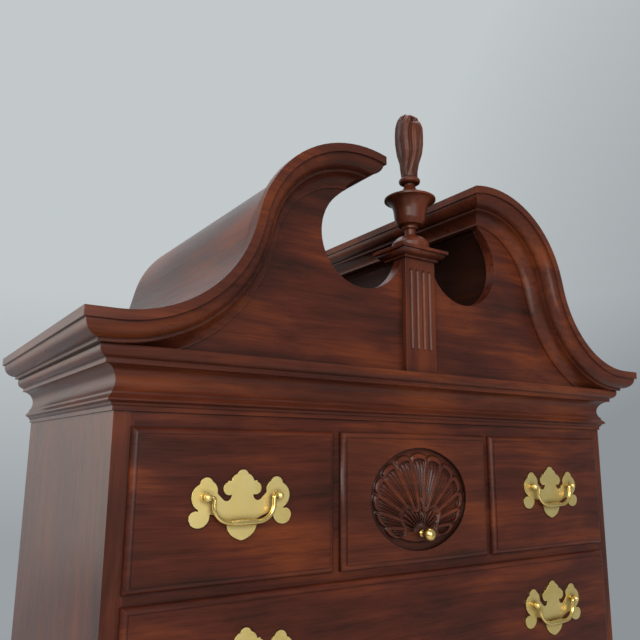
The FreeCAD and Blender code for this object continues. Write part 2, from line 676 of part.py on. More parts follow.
def neck_profile():
    """The crown's face as (reach, drop, sweep), from its top edge down to the board."""
    return [("crown_out", "0"), ("crown_out", "crown_fillet"), ("ovolo_out", "ovolo_drop"),
            ("ovolo_foot_out", "ovolo_foot", "88"), ("bead_out", "ovolo_foot"),
            ("bead_out", "crown_height"), ("neck_cove_out", "crown_height"),
            ("neck_fillet_out", "neck_cove_low", "-70"), ("neck_fillet_out", "neck_height"),
            ("board_proud", "neck_height")]


def make_neck():
    """The curved moulding on the front of the scroll board, right half."""
    neck = new_body("Neck")
    start = "half_width + crown_out + 5"
    spine = new_sketch(neck, "XZ_Plane", "-front")
    level_run = [(start, "crown_top")]
    trace(spine, level_run + scroll("0", "tip_x - 5", "hollow_x", outward=False), closed=False)
    section = new_sketch(neck, "YZ_Plane", start)
    trace(section, [("front", "crown_top - roof_drop"),
                    ("front - crown_lip", "crown_top - roof_drop"),
                    ("front - crown_lip", "crown_top")]
          + [(f"front - ({out})", f"crown_top - ({drop})", *sweep)
             for out, drop, *sweep in neck_profile()]
          + [("board_front", "crown_top - board_drop"), ("front", "crown_top - board_drop")])
    pipe = neck.newObject("PartDesign::AdditivePipe", "NeckPipe")
    pipe.Profile = section
    pipe.Spine = (spine, [""])
    far = "(crown_out + 9)"
    mitre(neck, [("half_width", "front"), (f"half_width + {far}", f"front - {far}"),
                 (f"half_width + {far}", "front")])
    mitre(neck, [("return_x", "front"), (f"return_x - {far}", f"front - {far}"),
                 (f"return_x - {far}", "front")])
    below = new_sketch(neck, "XZ_Plane", "-front")
    rectangle(below, "scroll_centre", "crown_low - neck_height", "half_width + 2 * crown_out",
              "crown_low")
    pocket(neck, below, reverse=True)
    return neck


def make_side_crown():
    """The crown's straight return along the case's right side."""
    crown = new_body("SideCrown")
    sketch = new_sketch(crown, "XZ_Plane", "-back")
    face = neck_profile()[:-4]
    trace(sketch, [("half_width", "crown_top - roof_drop"),
                   ("half_width + crown_lip", "crown_top - roof_drop"),
                   ("half_width + crown_lip", "crown_top")]
          + [(f"half_width + {out}", f"crown_top - {drop}", *(f"-{s}" for s in sweep))
             for out, drop, *sweep in face] + [("half_width", "crown_low")])
    pad(crown, sketch, "case_depth + crown_out + 5")
    far = "(crown_out + 9)"
    mitre(crown, [("half_width", "front"), (f"half_width + {far}", f"front - {far}"),
                  ("half_width", f"front - {far}")])
    return crown


def make_inner_return():
    """The neck's return from its inner end to the back; its section is the neck's mitre."""
    inner = new_body("InnerReturn")
    sketch = new_sketch(inner, "XZ_Plane", "-back")
    lip_x = "(return_x - crown_lip)"
    trace(sketch, [("return_x", on_hump("return_x", "roof_drop")),
                   (lip_x, on_hump(lip_x, "roof_drop")), (lip_x, on_hump(lip_x, "0"))]
          + [(f"return_x - ({out})", on_hump(f"(return_x - ({out}))", drop), *sweep)
             for out, drop, *sweep in neck_profile()]
          + [("return_x", on_hump("return_x", "neck_height"))])
    pad(inner, sketch, "case_depth + crown_out + 5")
    far = "(crown_out + 9)"
    mitre(inner, [("return_x", "front"), (f"return_x - {far}", f"front - {far}"),
                  ("return_x", f"front - {far}")])
    return inner


def make_crown():
    rights = [make_neck(), make_side_crown(), make_inner_return()]
    lefts = [mirrored(part.Name + "Left", part) for part in rights]
    node("swan_necks", group("SwanNecks", rights + lefts))


def mirror_corners(corners):
    """The left half of a symmetric outline, walked the other way."""
    result = []
    for number in range(len(corners) - 1, -1, -1):
        after = corners[number + 1] if number + 1 < len(corners) else ()
        x, z = corners[number][:2]
        result.append((f"-({x})", z, *after[2:]))
    return result


def pediment_outline(hole, low, outer, inner="return_x"):
    """Half outline of a board under the roof, with the round opening's radius, its lower edge,
    its outer end and its inner end at the neck's foot."""
    soffit = on_hump(f"({inner})", "neck_height")
    tongue_z = "plinth_top"
    tongue_sink = f"(hole_z - ({tongue_z}))"
    half_turn = f"(90 - asin({tongue_sink} / {hole}) / 1 deg)"
    return [(outer, low)] + scroll("board_drop", inner, outer, outward=False) + \
        [(inner, soffit),
         (f"hole_x + {hole} * cos(hole_touch)", f"hole_z + {hole} * sin(hole_touch)"),
         ("hole_x", f"hole_z - {hole}", "-(90 + hole_touch)"),
         (f"hole_x - sqrt({hole}^2 - {tongue_sink}^2)", tongue_z, f"-{half_turn}")]


def make_pediment_boards():
    """The scroll board in front, and the bonnet's back board that repeats its outline.
    The scroll board's core stands between the sides; its face laps over their front edges
    and is mitred where the crown and the necks turn their corners."""
    core = new_body("ScrollBoardCore")
    half = pediment_outline("hole_radius", "cornice_low", "inner_half")
    sketch = trace(new_sketch(core, "XZ_Plane", "-front"), half + mirror_corners(half))
    pad(core, sketch, "board_back - front", reverse=True)

    face = new_body("ScrollBoardFace")
    half = pediment_outline("hole_radius", "crown_low", "half_width + board_proud",
                            "return_x - board_proud")
    sketch = trace(new_sketch(face, "XZ_Plane", "-board_front"), half + mirror_corners(half))
    pad(face, sketch, "board_proud", reverse=True)
    far = "(board_proud + 5)"
    for x, out in (("half_width", far), ("return_x", f"(-{far})")):
        corners = [(x, "front"), (f"{x} + {out}", f"front - {far}"), (f"{x} + {out}", "front")]
        for chain in (corners, [(f"-({side})", depth) for side, depth in corners]):
            sketch = trace(new_sketch(face, "XY_Plane", "hole_z" if x == "return_x" else "0"), chain)
            pocket(face, sketch, reverse=True)
    node("scroll_board", fused("ScrollBoard", [core, face]))

    rear = new_body("BonnetBack")
    hole = "(hole_radius + liner_step + liner_thickness)"
    half = pediment_outline(hole, "cornice_low", "inner_half")
    sketch = trace(new_sketch(rear, "XZ_Plane", "-panel_front"), half + mirror_corners(half))
    pad(rear, sketch, "back_thickness", reverse=True)
    lower = across("UpperBackPanel", "panel_front", "lower_top", "back_thickness",
                   "cornice_low - lower_top")
    node("upper_back", group("UpperBack", [lower, rear]))


def make_roof():
    """The bonnet's two roof sheets and the curved liners behind the round openings."""
    roof = new_body("Roof")
    outer = scroll("roof_drop", "return_x", "half_width")
    inner = scroll("board_drop", "return_x", "half_width", outward=False)
    sketch = trace(new_sketch(roof, "XZ_Plane", "-front"), outer + inner)
    pad(roof, sketch, "case_depth", reverse=True)

    liner = new_body("Liner")
    inside, outside = "(hole_radius + liner_step)", "(hole_radius + liner_step + liner_thickness)"
    start = "15"
    top = f"({on_hump('return_x', 'neck_height')} - liner_thickness / 2)"
    run = f"({top} - hole_z - {inside} * sin(hole_touch)) / cos(hole_touch)"
    lean = f"{run} * sin(hole_touch)"
    corners = []
    for radius, forward in ((inside, True), (outside, False)):
        chain = [(f"hole_x - {radius} * cos({start})", f"hole_z - {radius} * sin({start})"),
                 ("hole_x", f"hole_z - {radius}", f"90 - {start}"),
                 (f"hole_x + {radius} * cos(hole_touch)", f"hole_z + {radius} * sin(hole_touch)",
                  "90 + hole_touch"),
                 (f"hole_x + {radius} * cos(hole_touch) - {lean}",
                  f"hole_z + {radius} * sin(hole_touch) + {run} * cos(hole_touch)")]
        corners += chain if forward else backwards(chain)
    sketch = trace(new_sketch(liner, "XZ_Plane", "-board_back"), corners)
    pad(liner, sketch, "panel_front - board_back", reverse=True)
    node("bonnet_roof", group("BonnetRoof", [roof, mirrored("RoofLeft", roof), liner,
                                             mirrored("LinerLeft", liner)]))


def backwards(chain):
    """The same chain walked from its other end, with its arcs turned over."""
    result = []
    for number in range(len(chain) - 1, -1, -1):
        after = chain[number + 1] if number + 1 < len(chain) else ()
        result.append((*chain[number][:2], *(f"-({s})" for s in after[2:])))
    return result


# ---------------------------------------------------------------------------------------------
# The fluted plinth and the finial
# ---------------------------------------------------------------------------------------------
def ringed_slab(name, out, low, height):
    """A rectangular slab that stands out of the plinth by out on all four sides."""
    return board(name, (f"-plinth_width / 2 - {out}", f"board_front - plinth_proud - {out}", low),
                 (f"plinth_width + 2 * {out}",
                  f"plinth_back - board_front + plinth_proud + 2 * {out}", height))


def make_plinth():
    shaft = board("PlinthShaft", ("-plinth_width / 2", "board_front - plinth_proud", "crown_low"),
                  ("plinth_width", "plinth_proud", "plinth_top - crown_low"))
    cutters = []
    flute_y = "board_front - plinth_proud - flute_radius + flute_depth"
    flute_low = "crown_low + flute_margin + flute_radius"
    flute_high = "plinth_top - flute_margin - flute_radius"
    for number in range(4):
        x = f"({number} - 1.5) * flute_pitch"
        cutters.append(cylinder(f"Flute{number}", "flute_radius", f"{flute_high} - ({flute_low})",
                                (x, flute_y, flute_low), Vector(0, 0, 1)))
        for end, level in (("Low", flute_low), ("High", flute_high)):
            ball = doc.addObject("Part::Sphere", f"Flute{end}{number}")
            cutters.append(put(bind(ball, Radius="flute_radius"), x, flute_y, level))
    fluted = cut("FlutedShaft", shaft, fused("Flutes", cutters))
    half = "(hole_x - hole_radius - liner_step - liner_thickness - liner_gap)"
    rear = board("PlinthRear", (f"-{half}", "board_back", "plinth_top - hole_radius"),
                 (f"2 * {half}", "plinth_rear", "hole_radius"))

    ovolo_low = "plinth_top + cap_fillet"
    slab_low = "plinth_top + cap_fillet + cap_ovolo"
    lower = ringed_slab("CapFillet", "cap_fillet_out", "plinth_top", "cap_fillet")
    blank = ringed_slab("CapBlank", "cap_ovolo_out", ovolo_low, "cap_ovolo")
    doc.recompute()
    rounded = doc.addObject("Part::Fillet", "CapOvolo")
    rounded.Base = blank
    radius = value("cap_ovolo") * 0.9
    foot = [number for number, edge in enumerate(blank.Shape.Edges, 1)
            if edge.BoundBox.ZMax < value(ovolo_low) + radius / 2]
    rounded.Edges = [(number, radius, radius) for number in foot]
    slab = ringed_slab("CapSlab", "cap_out", slab_low, "cap_slab")
    node("plinth", group("Plinth", [fluted, rear, fused("PlinthCap", [lower, rounded, slab])]))


def make_finial():
    urn = turned("Urn", [
        ("0", "0"), ("urn_foot", "0"), ("urn_foot", "urn_foot_height"),
        ("urn_dome", "urn_dome_height", "55"), ("urn_neck", "urn_dome_height + 3", "-60"),
        ("urn_neck", "urn_neck_height"), ("urn_ring", "urn_neck_height + 2"),
        ("urn_ring", "urn_neck_height + urn_ring_height"),
        ("urn_base", "urn_neck_height + urn_ring_height + 2", "-30"),
        ("urn_bowl", "urn_bowl_height", "30"), ("urn_wall", "urn_wall_height"),
        ("urn_flare", "urn_flare_height", "-15"),
        ("urn_rim", "urn_rim_height - urn_rim_edge", "-50"), ("urn_rim", "urn_rim_height"),
        ("urn_lid", "urn_lid_height", "25"), ("urn_top", "urn_top_height - 3", "-55"),
        ("urn_top", "urn_top_height"), ("collar_radius", "urn_top_height + 2", "40"),
        ("collar_radius", "urn_top_height + collar_height - 2", "70"),
        ("flame_foot", "urn_top_height + collar_height"),
        ("0", "urn_top_height + collar_height")])
    node("finial_urn", put(urn, "0", "finial_y", "cap_top"))

    flame = new_body("Flame")
    sections = []
    stations = (("0", "flame_foot"), ("0.22", "flame_waist"), ("0.38", "flame_belly * 0.88"),
                ("0.62", "flame_belly"), ("0.86", "flame_belly * 0.94"),
                ("0.95", "flame_belly * 0.72"), ("1", "flame_tip"))
    for share, radius in stations:
        sketch = new_sketch(flame, "XY_Plane", f"flame_height * {share}")
        turn = f"{share} * flame_turn"
        corners = [(f"{radius} * 0.9 * cos({60 * lobe} + {turn})",
                    f"{radius} * 0.9 * sin({60 * lobe} + {turn})", "100") for lobe in range(6)]
        sections.append(trace(sketch, corners))
    loft = flame.newObject("PartDesign::AdditiveLoft", "FlameLoft")
    loft.Profile = sections[0]
    loft.Sections = sections[1:]
    node("finial_flame", put(flame, "0", "finial_y", "flame_low"))


# ---------------------------------------------------------------------------------------------
# The legs, knee blocks, apron and drops
# ---------------------------------------------------------------------------------------------
def rounded_square(sketch, centre_x, centre_y, size, round_share):
    """A square with rounded corners, drawn round a centre."""
    flat = f"{size} * (0.5 - {round_share})"
    half = f"{size} * 0.5"
    corners = []
    for sx, sy, first_flat in ((1, -1, True), (1, 1, False), (-1, 1, True), (-1, -1, False)):
        near_x, near_y = f"{centre_x} + {sx} * {flat}", f"{centre_y} + {sy} * {half}"
        far_x, far_y = f"{centre_x} + {sx} * {half}", f"{centre_y} + {sy} * {flat}"
        points = [(near_x, near_y), (far_x, far_y, "90")]
        if not first_flat:
            points = [(far_x, far_y), (near_x, near_y, "90")]
        corners += points
    return trace(sketch, corners)


def make_legs():
    leg = new_body("Leg")
    post_x, post_y = "lower_half - post_size / 2", "lower_front + post_size / 2"
    stations = (("leg_height", "post_size", "0", "0.08"),
                ("leg_height - knee_drop", "knee_size", "knee_out", "0.3"),
                ("leg_height - shin_drop", "shin_size", "shin_out", "0.4"),
                ("ankle_height", "ankle_size", "ankle_out", "0.47"),
                ("instep_height", "instep_size", "(foot_out * 0.6)", "0.47"),
                ("foot_height", "foot_size", "foot_out", "0.48"),
                ("pad_height", "pad_size", "foot_out", "0.48"))
    sections = []
    for level, size, out, share in stations:
        sketch = new_sketch(leg, "XY_Plane", level)
        sections.append(rounded_square(sketch, f"({post_x} + {out})", f"({post_y} - {out})",
                                       size, share))
    loft = leg.newObject("PartDesign::AdditiveLoft", "LegLoft")
    loft.Profile = sections[0]
    loft.Sections = sections[1:]
    disc = new_sketch(leg, "XY_Plane", "0")
    rounded_square(disc, f"({post_x} + foot_out)", f"({post_y} - foot_out)", "pad_size", "0.48")
    pad(leg, disc, "pad_height")
    square = new_sketch(leg, "XY_Plane", "leg_height")
    rectangle(square, "inner_half", "lower_front", "lower_half", "lower_front + post_size")
    pad(leg, square, "lower_top - leg_height")

    front_block = new_body("KneeBlock")
    sketch = new_sketch(front_block, "XZ_Plane", "-lower_front")
    trace(sketch, [("inner_half", "leg_height"), ("inner_half - knee_block_reach", "leg_height"),
                   ("inner_half", "leg_height - knee_block_drop", "-80")])
    pad(front_block, sketch, "knee_block_thickness", reverse=True)
    side_block = new_body("SideKneeBlock")
    sketch = new_sketch(side_block, "YZ_Plane", "lower_half - knee_block_thickness")
    block_y = "lower_front + post_size"
    trace(sketch, [(block_y, "leg_height"), (block_y, "leg_height - knee_block_drop"),
                   (f"{block_y} + knee_block_reach", "leg_height", "-80")])
    pad(side_block, sketch, "knee_block_thickness")

    corner = group("LegFrontRight", [leg, front_block, side_block])
    front_left = mirrored("LegFrontLeft", corner)
    rear = [mirrored("LegRearRight", corner, Vector(0, 1, 0)),
            mirrored("LegRearLeft", front_left, Vector(0, 1, 0))]
    node("legs", group("Legs", [corner, front_left] + rear))


def make_apron():
    apron = new_body("Apron")
    pad_low = "leg_height - apron_pad_drop"
    outer, inner = "apron_pad_centre + apron_pad_half", "apron_pad_centre - apron_pad_half"
    side_arch = "leg_height + apron_side_rise"
    middle = "leg_height + apron_arch_rise"
    half = [("inner_half", "base_row + lip"), ("inner_half", "leg_height"),
            ("inner_half - knee_block_reach", "leg_height"),
            ("inner_half - 1.8 * knee_block_reach", side_arch, "60"),
            (f"{outer} + 70", side_arch), (f"{outer} + 6", f"{pad_low} + 22", "75"),
            (outer, pad_low), (inner, pad_low), (f"{inner} - 6", f"{pad_low} + 22"),
            (f"{inner} - 60", middle, "80")]
    half = [(x, z, *(f"-({s})" for s in sweep)) for x, z, *sweep in half]
    half[3] = (half[3][0], half[3][1], "60")
    half[5] = (half[5][0], half[5][1], "75")
    half[9] = (half[9][0], half[9][1], "80")
    sketch = trace(new_sketch(apron, "XZ_Plane", "-lower_front"), half + mirror_corners(half))
    pad(apron, sketch, "apron_thickness", reverse=True)
    drop = turned("Drop", [
        ("0", "0"), ("drop_radius", "0"), ("drop_radius", "-5"), ("drop_neck", "-13", "60"),
        ("drop_neck", "-19"), ("drop_radius", "-34", "60"),
        ("drop_neck * 0.6", "-(drop_length - 10)", "-70"), ("drop_neck", "-(drop_length - 6)"),
        ("0", "-drop_length", "-80")])
    put(drop, "apron_pad_centre", "lower_front + apron_thickness / 2", pad_low)
    node("apron", group("ApronParts", [apron, drop, mirrored("DropLeft", drop)]))


# ---------------------------------------------------------------------------------------------
# The pulls, made once and placed on every drawer
# ---------------------------------------------------------------------------------------------
POST = "pull_bore / 2"
# Half of the back plate's outline, from the crest down the left side, in hundredths of the
# distance between the posts: (x, z, sweep).
PLATE_HALF = [
    (0, 32.5, 75), (-7.4, 27.5, 75), (-16, 18.5, 60), (-19.8, 19.4), (-20.8, 17),
    (-18.3, 1.8, 165), (-14.9, 2.2), (-26.6, -3.2, -140), (-34.4, 4.2), (-40.8, 18.4, 75),
    (-57.6, 15.4, 150), (-59.4, -14.4, 130), (-58.8, -16.6), (-68.9, -29.6, 150),
    (-68.1, -31.6), (-44.2, -24.2, 122), (-43.9, -19.9), (-19.3, -29, -25), (-20.7, -35),
    (-9, -49.3, 55), (0, -52.6, 20),
]


def make_pull():
    """A cast plate, two ball posts with their shanks, and two nuts, round the origin."""
    plate = new_body("PullPlate")
    left = [(f"({x}) * pull_bore / 100", f"({z}) * pull_bore / 100", *map(str, sweep))
            for x, z, *sweep in PLATE_HALF]
    right = mirror_corners(left)[1:-1]
    sketch = trace(new_sketch(plate, "XZ_Plane"), left + right)
    pad(plate, sketch, "plate_thickness")
    backward, forward = Vector(0, 1, 0), Vector(0, -1, 0)
    hole = "shank_radius + shank_gap"
    holes = [cylinder(f"PlateHole{side}", hole, "3 * plate_thickness",
                      (f"{side} * {POST}", "-2 * plate_thickness", "0"), backward)
             for side in (1, -1)]
    drilled = cut("DrilledPlate", plate, fused("PlateHoles", holes))

    centre = (POST, "-ball_out", "0")
    ball = doc.addObject("Part::Sphere", "PostBall")
    put(bind(ball, Radius="ball_radius"), *centre)
    neck = cylinder("PostNeck", "neck_radius", "ball_stand", (POST, "-plate_thickness", "0"),
                    forward)
    flange = cylinder("PostFlange", "flange_radius", "flange_height",
                      (POST, "-plate_thickness", "0"), forward)
    shank = cylinder("PostShank", "shank_radius",
                     "plate_thickness + field_height + front_thickness + nut_height + 2",
                     (POST, "-plate_thickness", "0"), backward)
    bore = cylinder("PostBore", "pin_radius + pin_gap", "ball_radius + pin_reach",
                    (f"{POST} - 2 * ball_radius", "-ball_out", "0"), Vector(1, 0, 0))
    post = cut("Post", fused("PostBlank", [ball, neck, flange, shank]), bore)

    hexagon = doc.addObject("Part::Prism", "NutBlank")
    hexagon.Polygon = 6
    bind(hexagon, Circumradius="nut_radius", Height="nut_height")
    hexagon.Placement.Rotation = FreeCAD.Rotation(Vector(0, 0, 1), backward)
    put(hexagon, POST, "field_height + front_thickness", "0")
    tapped = cylinder("NutHole", hole, "3 * nut_height",
                      (POST, "front_thickness - nut_height", "0"), backward)
    nut = cut("Nut", hexagon, tapped)
    return group("PullTemplate", [drilled, post, mirrored("PostLeft", post), nut,
                                  mirrored("NutLeft", nut)])


def make_bail():
    """The swinging handle, round the origin at the middle of its hinge line."""
    arm = new_body("BailArm")
    spine = new_sketch(arm, "XZ_Plane")
    trace(spine, [("bail_end", "0"), ("arm_x + bail_bend", "0"), ("arm_x", "-bail_bend", "90"),
                  ("arm_x", "-(bail_drop - bail_corner)"),
                  ("arm_x - bail_corner", "-bail_drop", "-90")], closed=False)
    ring = new_sketch(arm, "YZ_Plane", "bail_end")
    circle = ring.addGeometry(Part.Circle(Vector(0, 0, 0), Vector(0, 0, 1),
                                          value("bail_radius")), False)
    hold(ring, circle, 3, ("0", "0"), Vector(0, 0, 0))
    held = ring.addConstraint(Sketcher.Constraint("Radius", circle, value("bail_radius")))
    bind(ring, **{f"Constraints[{held}]": "bail_radius"})
    pipe = arm.newObject("PartDesign::AdditivePipe", "BailPipe")
    pipe.Profile = ring
    pipe.Spine = (spine, [""])
    grip = turned("BailGrip", [
        ("0", "-(arm_x - bail_corner)"), ("bail_radius", "-(arm_x - bail_corner)"),
        ("bail_middle", "0", "10"), ("bail_radius", "arm_x - bail_corner", "10"),
        ("0", "arm_x - bail_corner")])
    grip.Placement.Rotation = FreeCAD.Rotation(Vector(0, 1, 0), 90)
    put(grip, "0", "0", "-bail_drop")
    pin = cylinder("BailPin", "pin_radius", "bail_gap + pin_reach", ("bail_end", "0", "0"),
                   Vector(1, 0, 0))
    return fused("BailTemplate", [arm, mirrored("BailArmLeft", arm), grip, pin,
                                  mirrored("BailPinLeft", pin)])


def make_knob():
    """A turned knob with its shank; its axis is turned to point out of the front."""
    return turned("KnobTemplate", [
        ("0", "front_core + nut_height"), ("knob_shank", "front_core + nut_height"),
        ("knob_shank", "0"), ("knob_rose", "0"), ("knob_rose", "-rose_height + 1"),
        ("knob_neck", "-rose_height", "20"), ("knob_neck", "-(knob_stand - knob_radius * 0.8)"),
        ("knob_radius", "-knob_stand", "-70"), ("0", "-(knob_stand + knob_radius)", "-90")])


def placed(name, template, x, y, z):
    """A copy of a template at a place of its own."""
    return put(group(name, [template]), x, y, z)


# ---------------------------------------------------------------------------------------------
# The drawers
# ---------------------------------------------------------------------------------------------
def make_front(name, centre, width, row, height, plane, drill):
    """A lipped front: moulded edge, raised field, core in the opening, and holes for shanks."""
    body = new_body(name + "Front")
    left, right = f"{centre} - {width} / 2", f"{centre} + {width} / 2"

    def inset_sketch(inset, away):
        sketch = new_sketch(body, "XZ_Plane", away)
        return rectangle(sketch, f"{left} + {inset}", f"{row} + {inset}", f"{right} - {inset}",
                         f"{row} + {height} - {inset}")

    slab = pad(body, inset_sketch("0", f"-({plane})"), "lip_thickness")
    doc.recompute()
    face = min(enumerate(slab.Shape.Faces, 1), key=lambda item: item[1].CenterOfMass.y)[0]
    edge = body.newObject("PartDesign::Fillet", name + "Thumbnail")
    edge.Base = (slab, [f"Face{face}"])
    bind(edge, Radius="lip_round")
    pad(body, inset_sketch("field_inset", f"-({plane}) + lip_thickness - lip_round / 2"),
        "field_height + lip_round / 2")
    pad(body, inset_sketch("(lip + core_gap)", f"-({plane})"), "front_core", reverse=True)
    if not drill:
        return body
    holes = [cylinder(f"{name}Hole{number}", "shank_radius + shank_gap",
                      "2 * (face_out + front_core)", (x, f"{plane} - 2 * face_out", z),
                      Vector(0, 1, 0)) for number, (x, z) in enumerate(drill)]
    return cut(name + "Drilled", body, fused(name + "Holes", holes))


def oval_corners(half_width, half_height):
    """An oval of four arcs about the sketch's origin."""
    step = f"({half_width} - {half_height}) / (sin(oval_turn) + cos(oval_turn) - 1)"
    side = f"({half_width} - {step} * cos(oval_turn))"
    x = f"({step} + {side}) * cos(oval_turn)"
    z = f"{side} * sin(oval_turn)"
    return [(x, f"-({z})", "180 - 2 * oval_turn"), (x, z, "2 * oval_turn"),
            (f"-({x})", z, "180 - 2 * oval_turn"), (f"-({x})", f"-({z})", "2 * oval_turn")]


def make_ground():
    """The cutter of the sunk oval ground, on the field's plane, round its own middle."""
    ground = new_body("SunkGround")
    sketch = trace(new_sketch(ground, "XZ_Plane", "-ground_depth"),
                   oval_corners("ground_half_width", "ground_half_height"))
    pad(ground, sketch, "2 * ground_depth")
    return ground


def spoke(name, kind, x, z, start, length, lift, **radii):
    """A rod or cone that starts off the origin and runs along the face towards (x, z)."""
    rod = doc.addObject(kind, name)
    bind(rod, Height=length, **radii)
    rod.Placement.Rotation = FreeCAD.Rotation(Vector(0, 1, 0), 1)
    bind(rod, Placement__Rotation__Angle=f"atan2({x}; {z})")
    reach = f"sqrt(({x})^2 + ({z})^2)"
    return put(rod, f"{start} * ({x}) / {reach}", lift, f"{start} * ({z}) / {reach}")


def make_shell():
    """The carved shell round its hub, standing on the plane of its ground: a dome with a
    scalloped outline, two hollowed flutes to each lobe, and a hollow with small rays."""
    dome = turned("ShellDome", [
        ("0", "0"), ("shell_far", "0"), ("shell_far", "-shell_rim"),
        ("0", "-shell_rise", "-2 * atan((shell_rise - shell_rim) / shell_far) / 1 deg")])
    dome.Placement.Rotation = FreeCAD.Rotation(Vector(1, 0, 0), -90)
    outline = new_body("ShellOutline")

    def rim(turn):
        return f"shell_a * sin({turn})", f"shell_lift + shell_b * cos({turn})"

    corners = [(*rim((number - LOBES / 2) * LOBE_TURN), "-80") for number in range(LOBES + 1)]
    corners[0] = (*corners[0][:2],)
    trace(new_sketch(outline, "XZ_Plane"), corners)
    pad(outline, outline.Group[-1], "2 * shell_rise")
    blank = doc.addObject("Part::Common", "ShellBlank")
    blank.Base = outline
    blank.Tool = dome

    cutters = []
    for lobe in range(LOBES):
        for side in (-1, 1):
            x, z = rim((lobe - LOBES // 2 + side * 0.23) * LOBE_TURN)
            start = "(heart_radius - heart_depth)"
            reach = f"sqrt(({x})^2 + ({z})^2)"
            length = f"{reach} - rim_band - {start}"
            cutters.append(spoke(
                f"ShellFlute{lobe}{'ab'[side > 0]}", "Part::Cone", x, z, start, length,
                "-shell_rise + flute_bite - flute_low_radius",
                Radius1="flute_low_radius", Radius2=f"flute_high_radius * {reach} / shell_far"))
    hollow = doc.addObject("Part::Cylinder", "ShellHollow")
    bind(hollow, Radius="heart_radius", Height="2 * heart_depth")
    hollow.Placement.Rotation = FreeCAD.Rotation(Vector(1, 0, 0), 90)
    put(hollow, "0", "heart_depth - shell_rise", "0")
    carved = cut("ShellCarved", cut("ShellFluted", blank, group("ShellFlutes", cutters)), hollow)

    rays = [spoke(f"ShellRay{number}", "Part::Cone", f"sin({(number - 5) * 18})",
                  f"cos({(number - 5) * 18})", "0", "heart_radius + 2",
                  "heart_depth - shell_rise", Radius1="ray_radius / 2", Radius2="ray_radius * 1.3")
            for number in range(11)]
    boss = cylinder("ShellBoss", "heart_boss", "shell_rise", ("0", "0", "0"), Vector(0, -1, 0))
    return fused("ShellTemplate", [carved, boss] + rays)


def make_box(name, centre, width, row, height, plane):
    """Two sides, a back and a bottom; the front closes them."""
    start = f"({plane} + front_core)"
    length = f"(panel_front - stop_gap - {start})"
    outer = f"({width} / 2 - lip - box_gap)"
    low = f"({row} + lip)"
    tall = f"({height} - 2 * lip - box_headroom)"
    inner = f"({outer} - box_board)"
    return [
        board(name + "BoxRight", (f"{centre} + {inner}", start, low), ("box_board", length, tall)),
        board(name + "BoxLeft", (f"{centre} - {outer}", start, low), ("box_board", length, tall)),
        board(name + "BoxBack", (f"{centre} - {inner}", f"{start} + {length} - box_board",
                                 f"{low} + bottom_lift + box_bottom"),
              (f"2 * {inner}", "box_board", f"{tall} - bottom_lift - box_bottom - box_board")),
        board(name + "BoxBottom", (f"{centre} - {inner}", start, f"{low} + bottom_lift"),
              (f"2 * {inner}", length, "box_bottom")),
    ]


def make_drawer(label, centre, width, row, height, plane, pulls):
    """One drawer: its front, its box, and either its pulls and bails or its shell and knob."""
    name = "".join(word.capitalize() for word in label.split("_"))
    post_z = f"{row} + {height} / 2 + pull_drop"
    drill = [(f"{x} + {side} * {POST}", post_z) for x in pulls for side in (1, -1)]
    front = make_front(name, centre, width, row, height, plane, drill)
    face = f"{plane} - face_out"
    hub = f"{row} + knob_height"
    if not pulls:
        ground = placed(name + "Ground", GROUND, "0", face, f"{row} + ground_middle")
        shell = placed(name + "Shell", SHELL, "0", f"{face} + ground_depth", hub)
        carved = fused(name + "WithShell", [cut(name + "Sunk", front, ground), shell])
        bore = cylinder(name + "KnobHole", "knob_shank + shank_gap", "4 * front_core",
                        ("0", f"{plane} - 2 * front_core", hub), Vector(0, 1, 0))
        front = cut(name + "Carved", carved, bore)
    node(label + "_front", front)
    node(label + "_box", group(name + "Box", make_box(name, centre, width, row, height, plane)))
    if not pulls:
        knob = placed(name + "Knob", KNOB, "0", f"{face} + ground_depth - shell_rise", hub)
        node(label + "_knob", knob)
        return
    sets = [placed(f"{name}Pull{number}", PULL, x, face, post_z) for number, x in enumerate(pulls)]
    node(label + "_pull", group(name + "Pulls", sets))
    for number, x in enumerate(pulls):
        ending = "" if len(pulls) == 1 else ("_left", "_right")[number]
        bail = placed(f"{name}Bail{number}", BAIL, x, f"{face} - ball_out", post_z)
        node(f"{label}_bail{ending}", bail)


make_upper_case()
make_lower_case()
make_cornice()
make_waist_moulding()
make_crown()
make_pediment_boards()
make_roof()
make_plinth()
make_finial()
make_legs()
make_apron()

PULL = make_pull()
BAIL = make_bail()
KNOB = make_knob()
GROUND = make_ground()
SHELL = make_shell()
KNOB.Placement.Rotation = FreeCAD.Rotation(Vector(1, 0, 0), -90)
BOTH = ["-pull_spread", "pull_spread"]
LONG = "(2 * lip_half)"
DRAWERS = [
    ("top_left_drawer", "(-small_step)", "small_width", "top_row", "top_height", "front",
     ["-small_step"]),
    ("top_shell_drawer", "0", "small_width", "top_row", "top_height", "front", []),
    ("top_right_drawer", "small_step", "small_width", "top_row", "top_height", "front",
     ["small_step"]),
    ("shallow_drawer", "0", LONG, "shallow_row", "shallow_height", "front", BOTH),
    ("middle_drawer", "0", LONG, "middle_row", "middle_height", "front", BOTH),
    ("deep_drawer", "0", LONG, "deep_row", "deep_height", "front", BOTH),
    ("waist_drawer", "0", LONG, "waist_row", "waist_height", "lower_front", BOTH),
    ("base_left_drawer", "(-small_step)", "small_width", "base_row", "base_height", "lower_front",
     ["-small_step"]),
    ("base_shell_drawer", "0", "small_width", "base_row", "base_height", "lower_front", []),
    ("base_right_drawer", "small_step", "small_width", "base_row", "base_height", "lower_front",
     ["small_step"]),
]
for drawer in DRAWERS:
    make_drawer(*drawer)

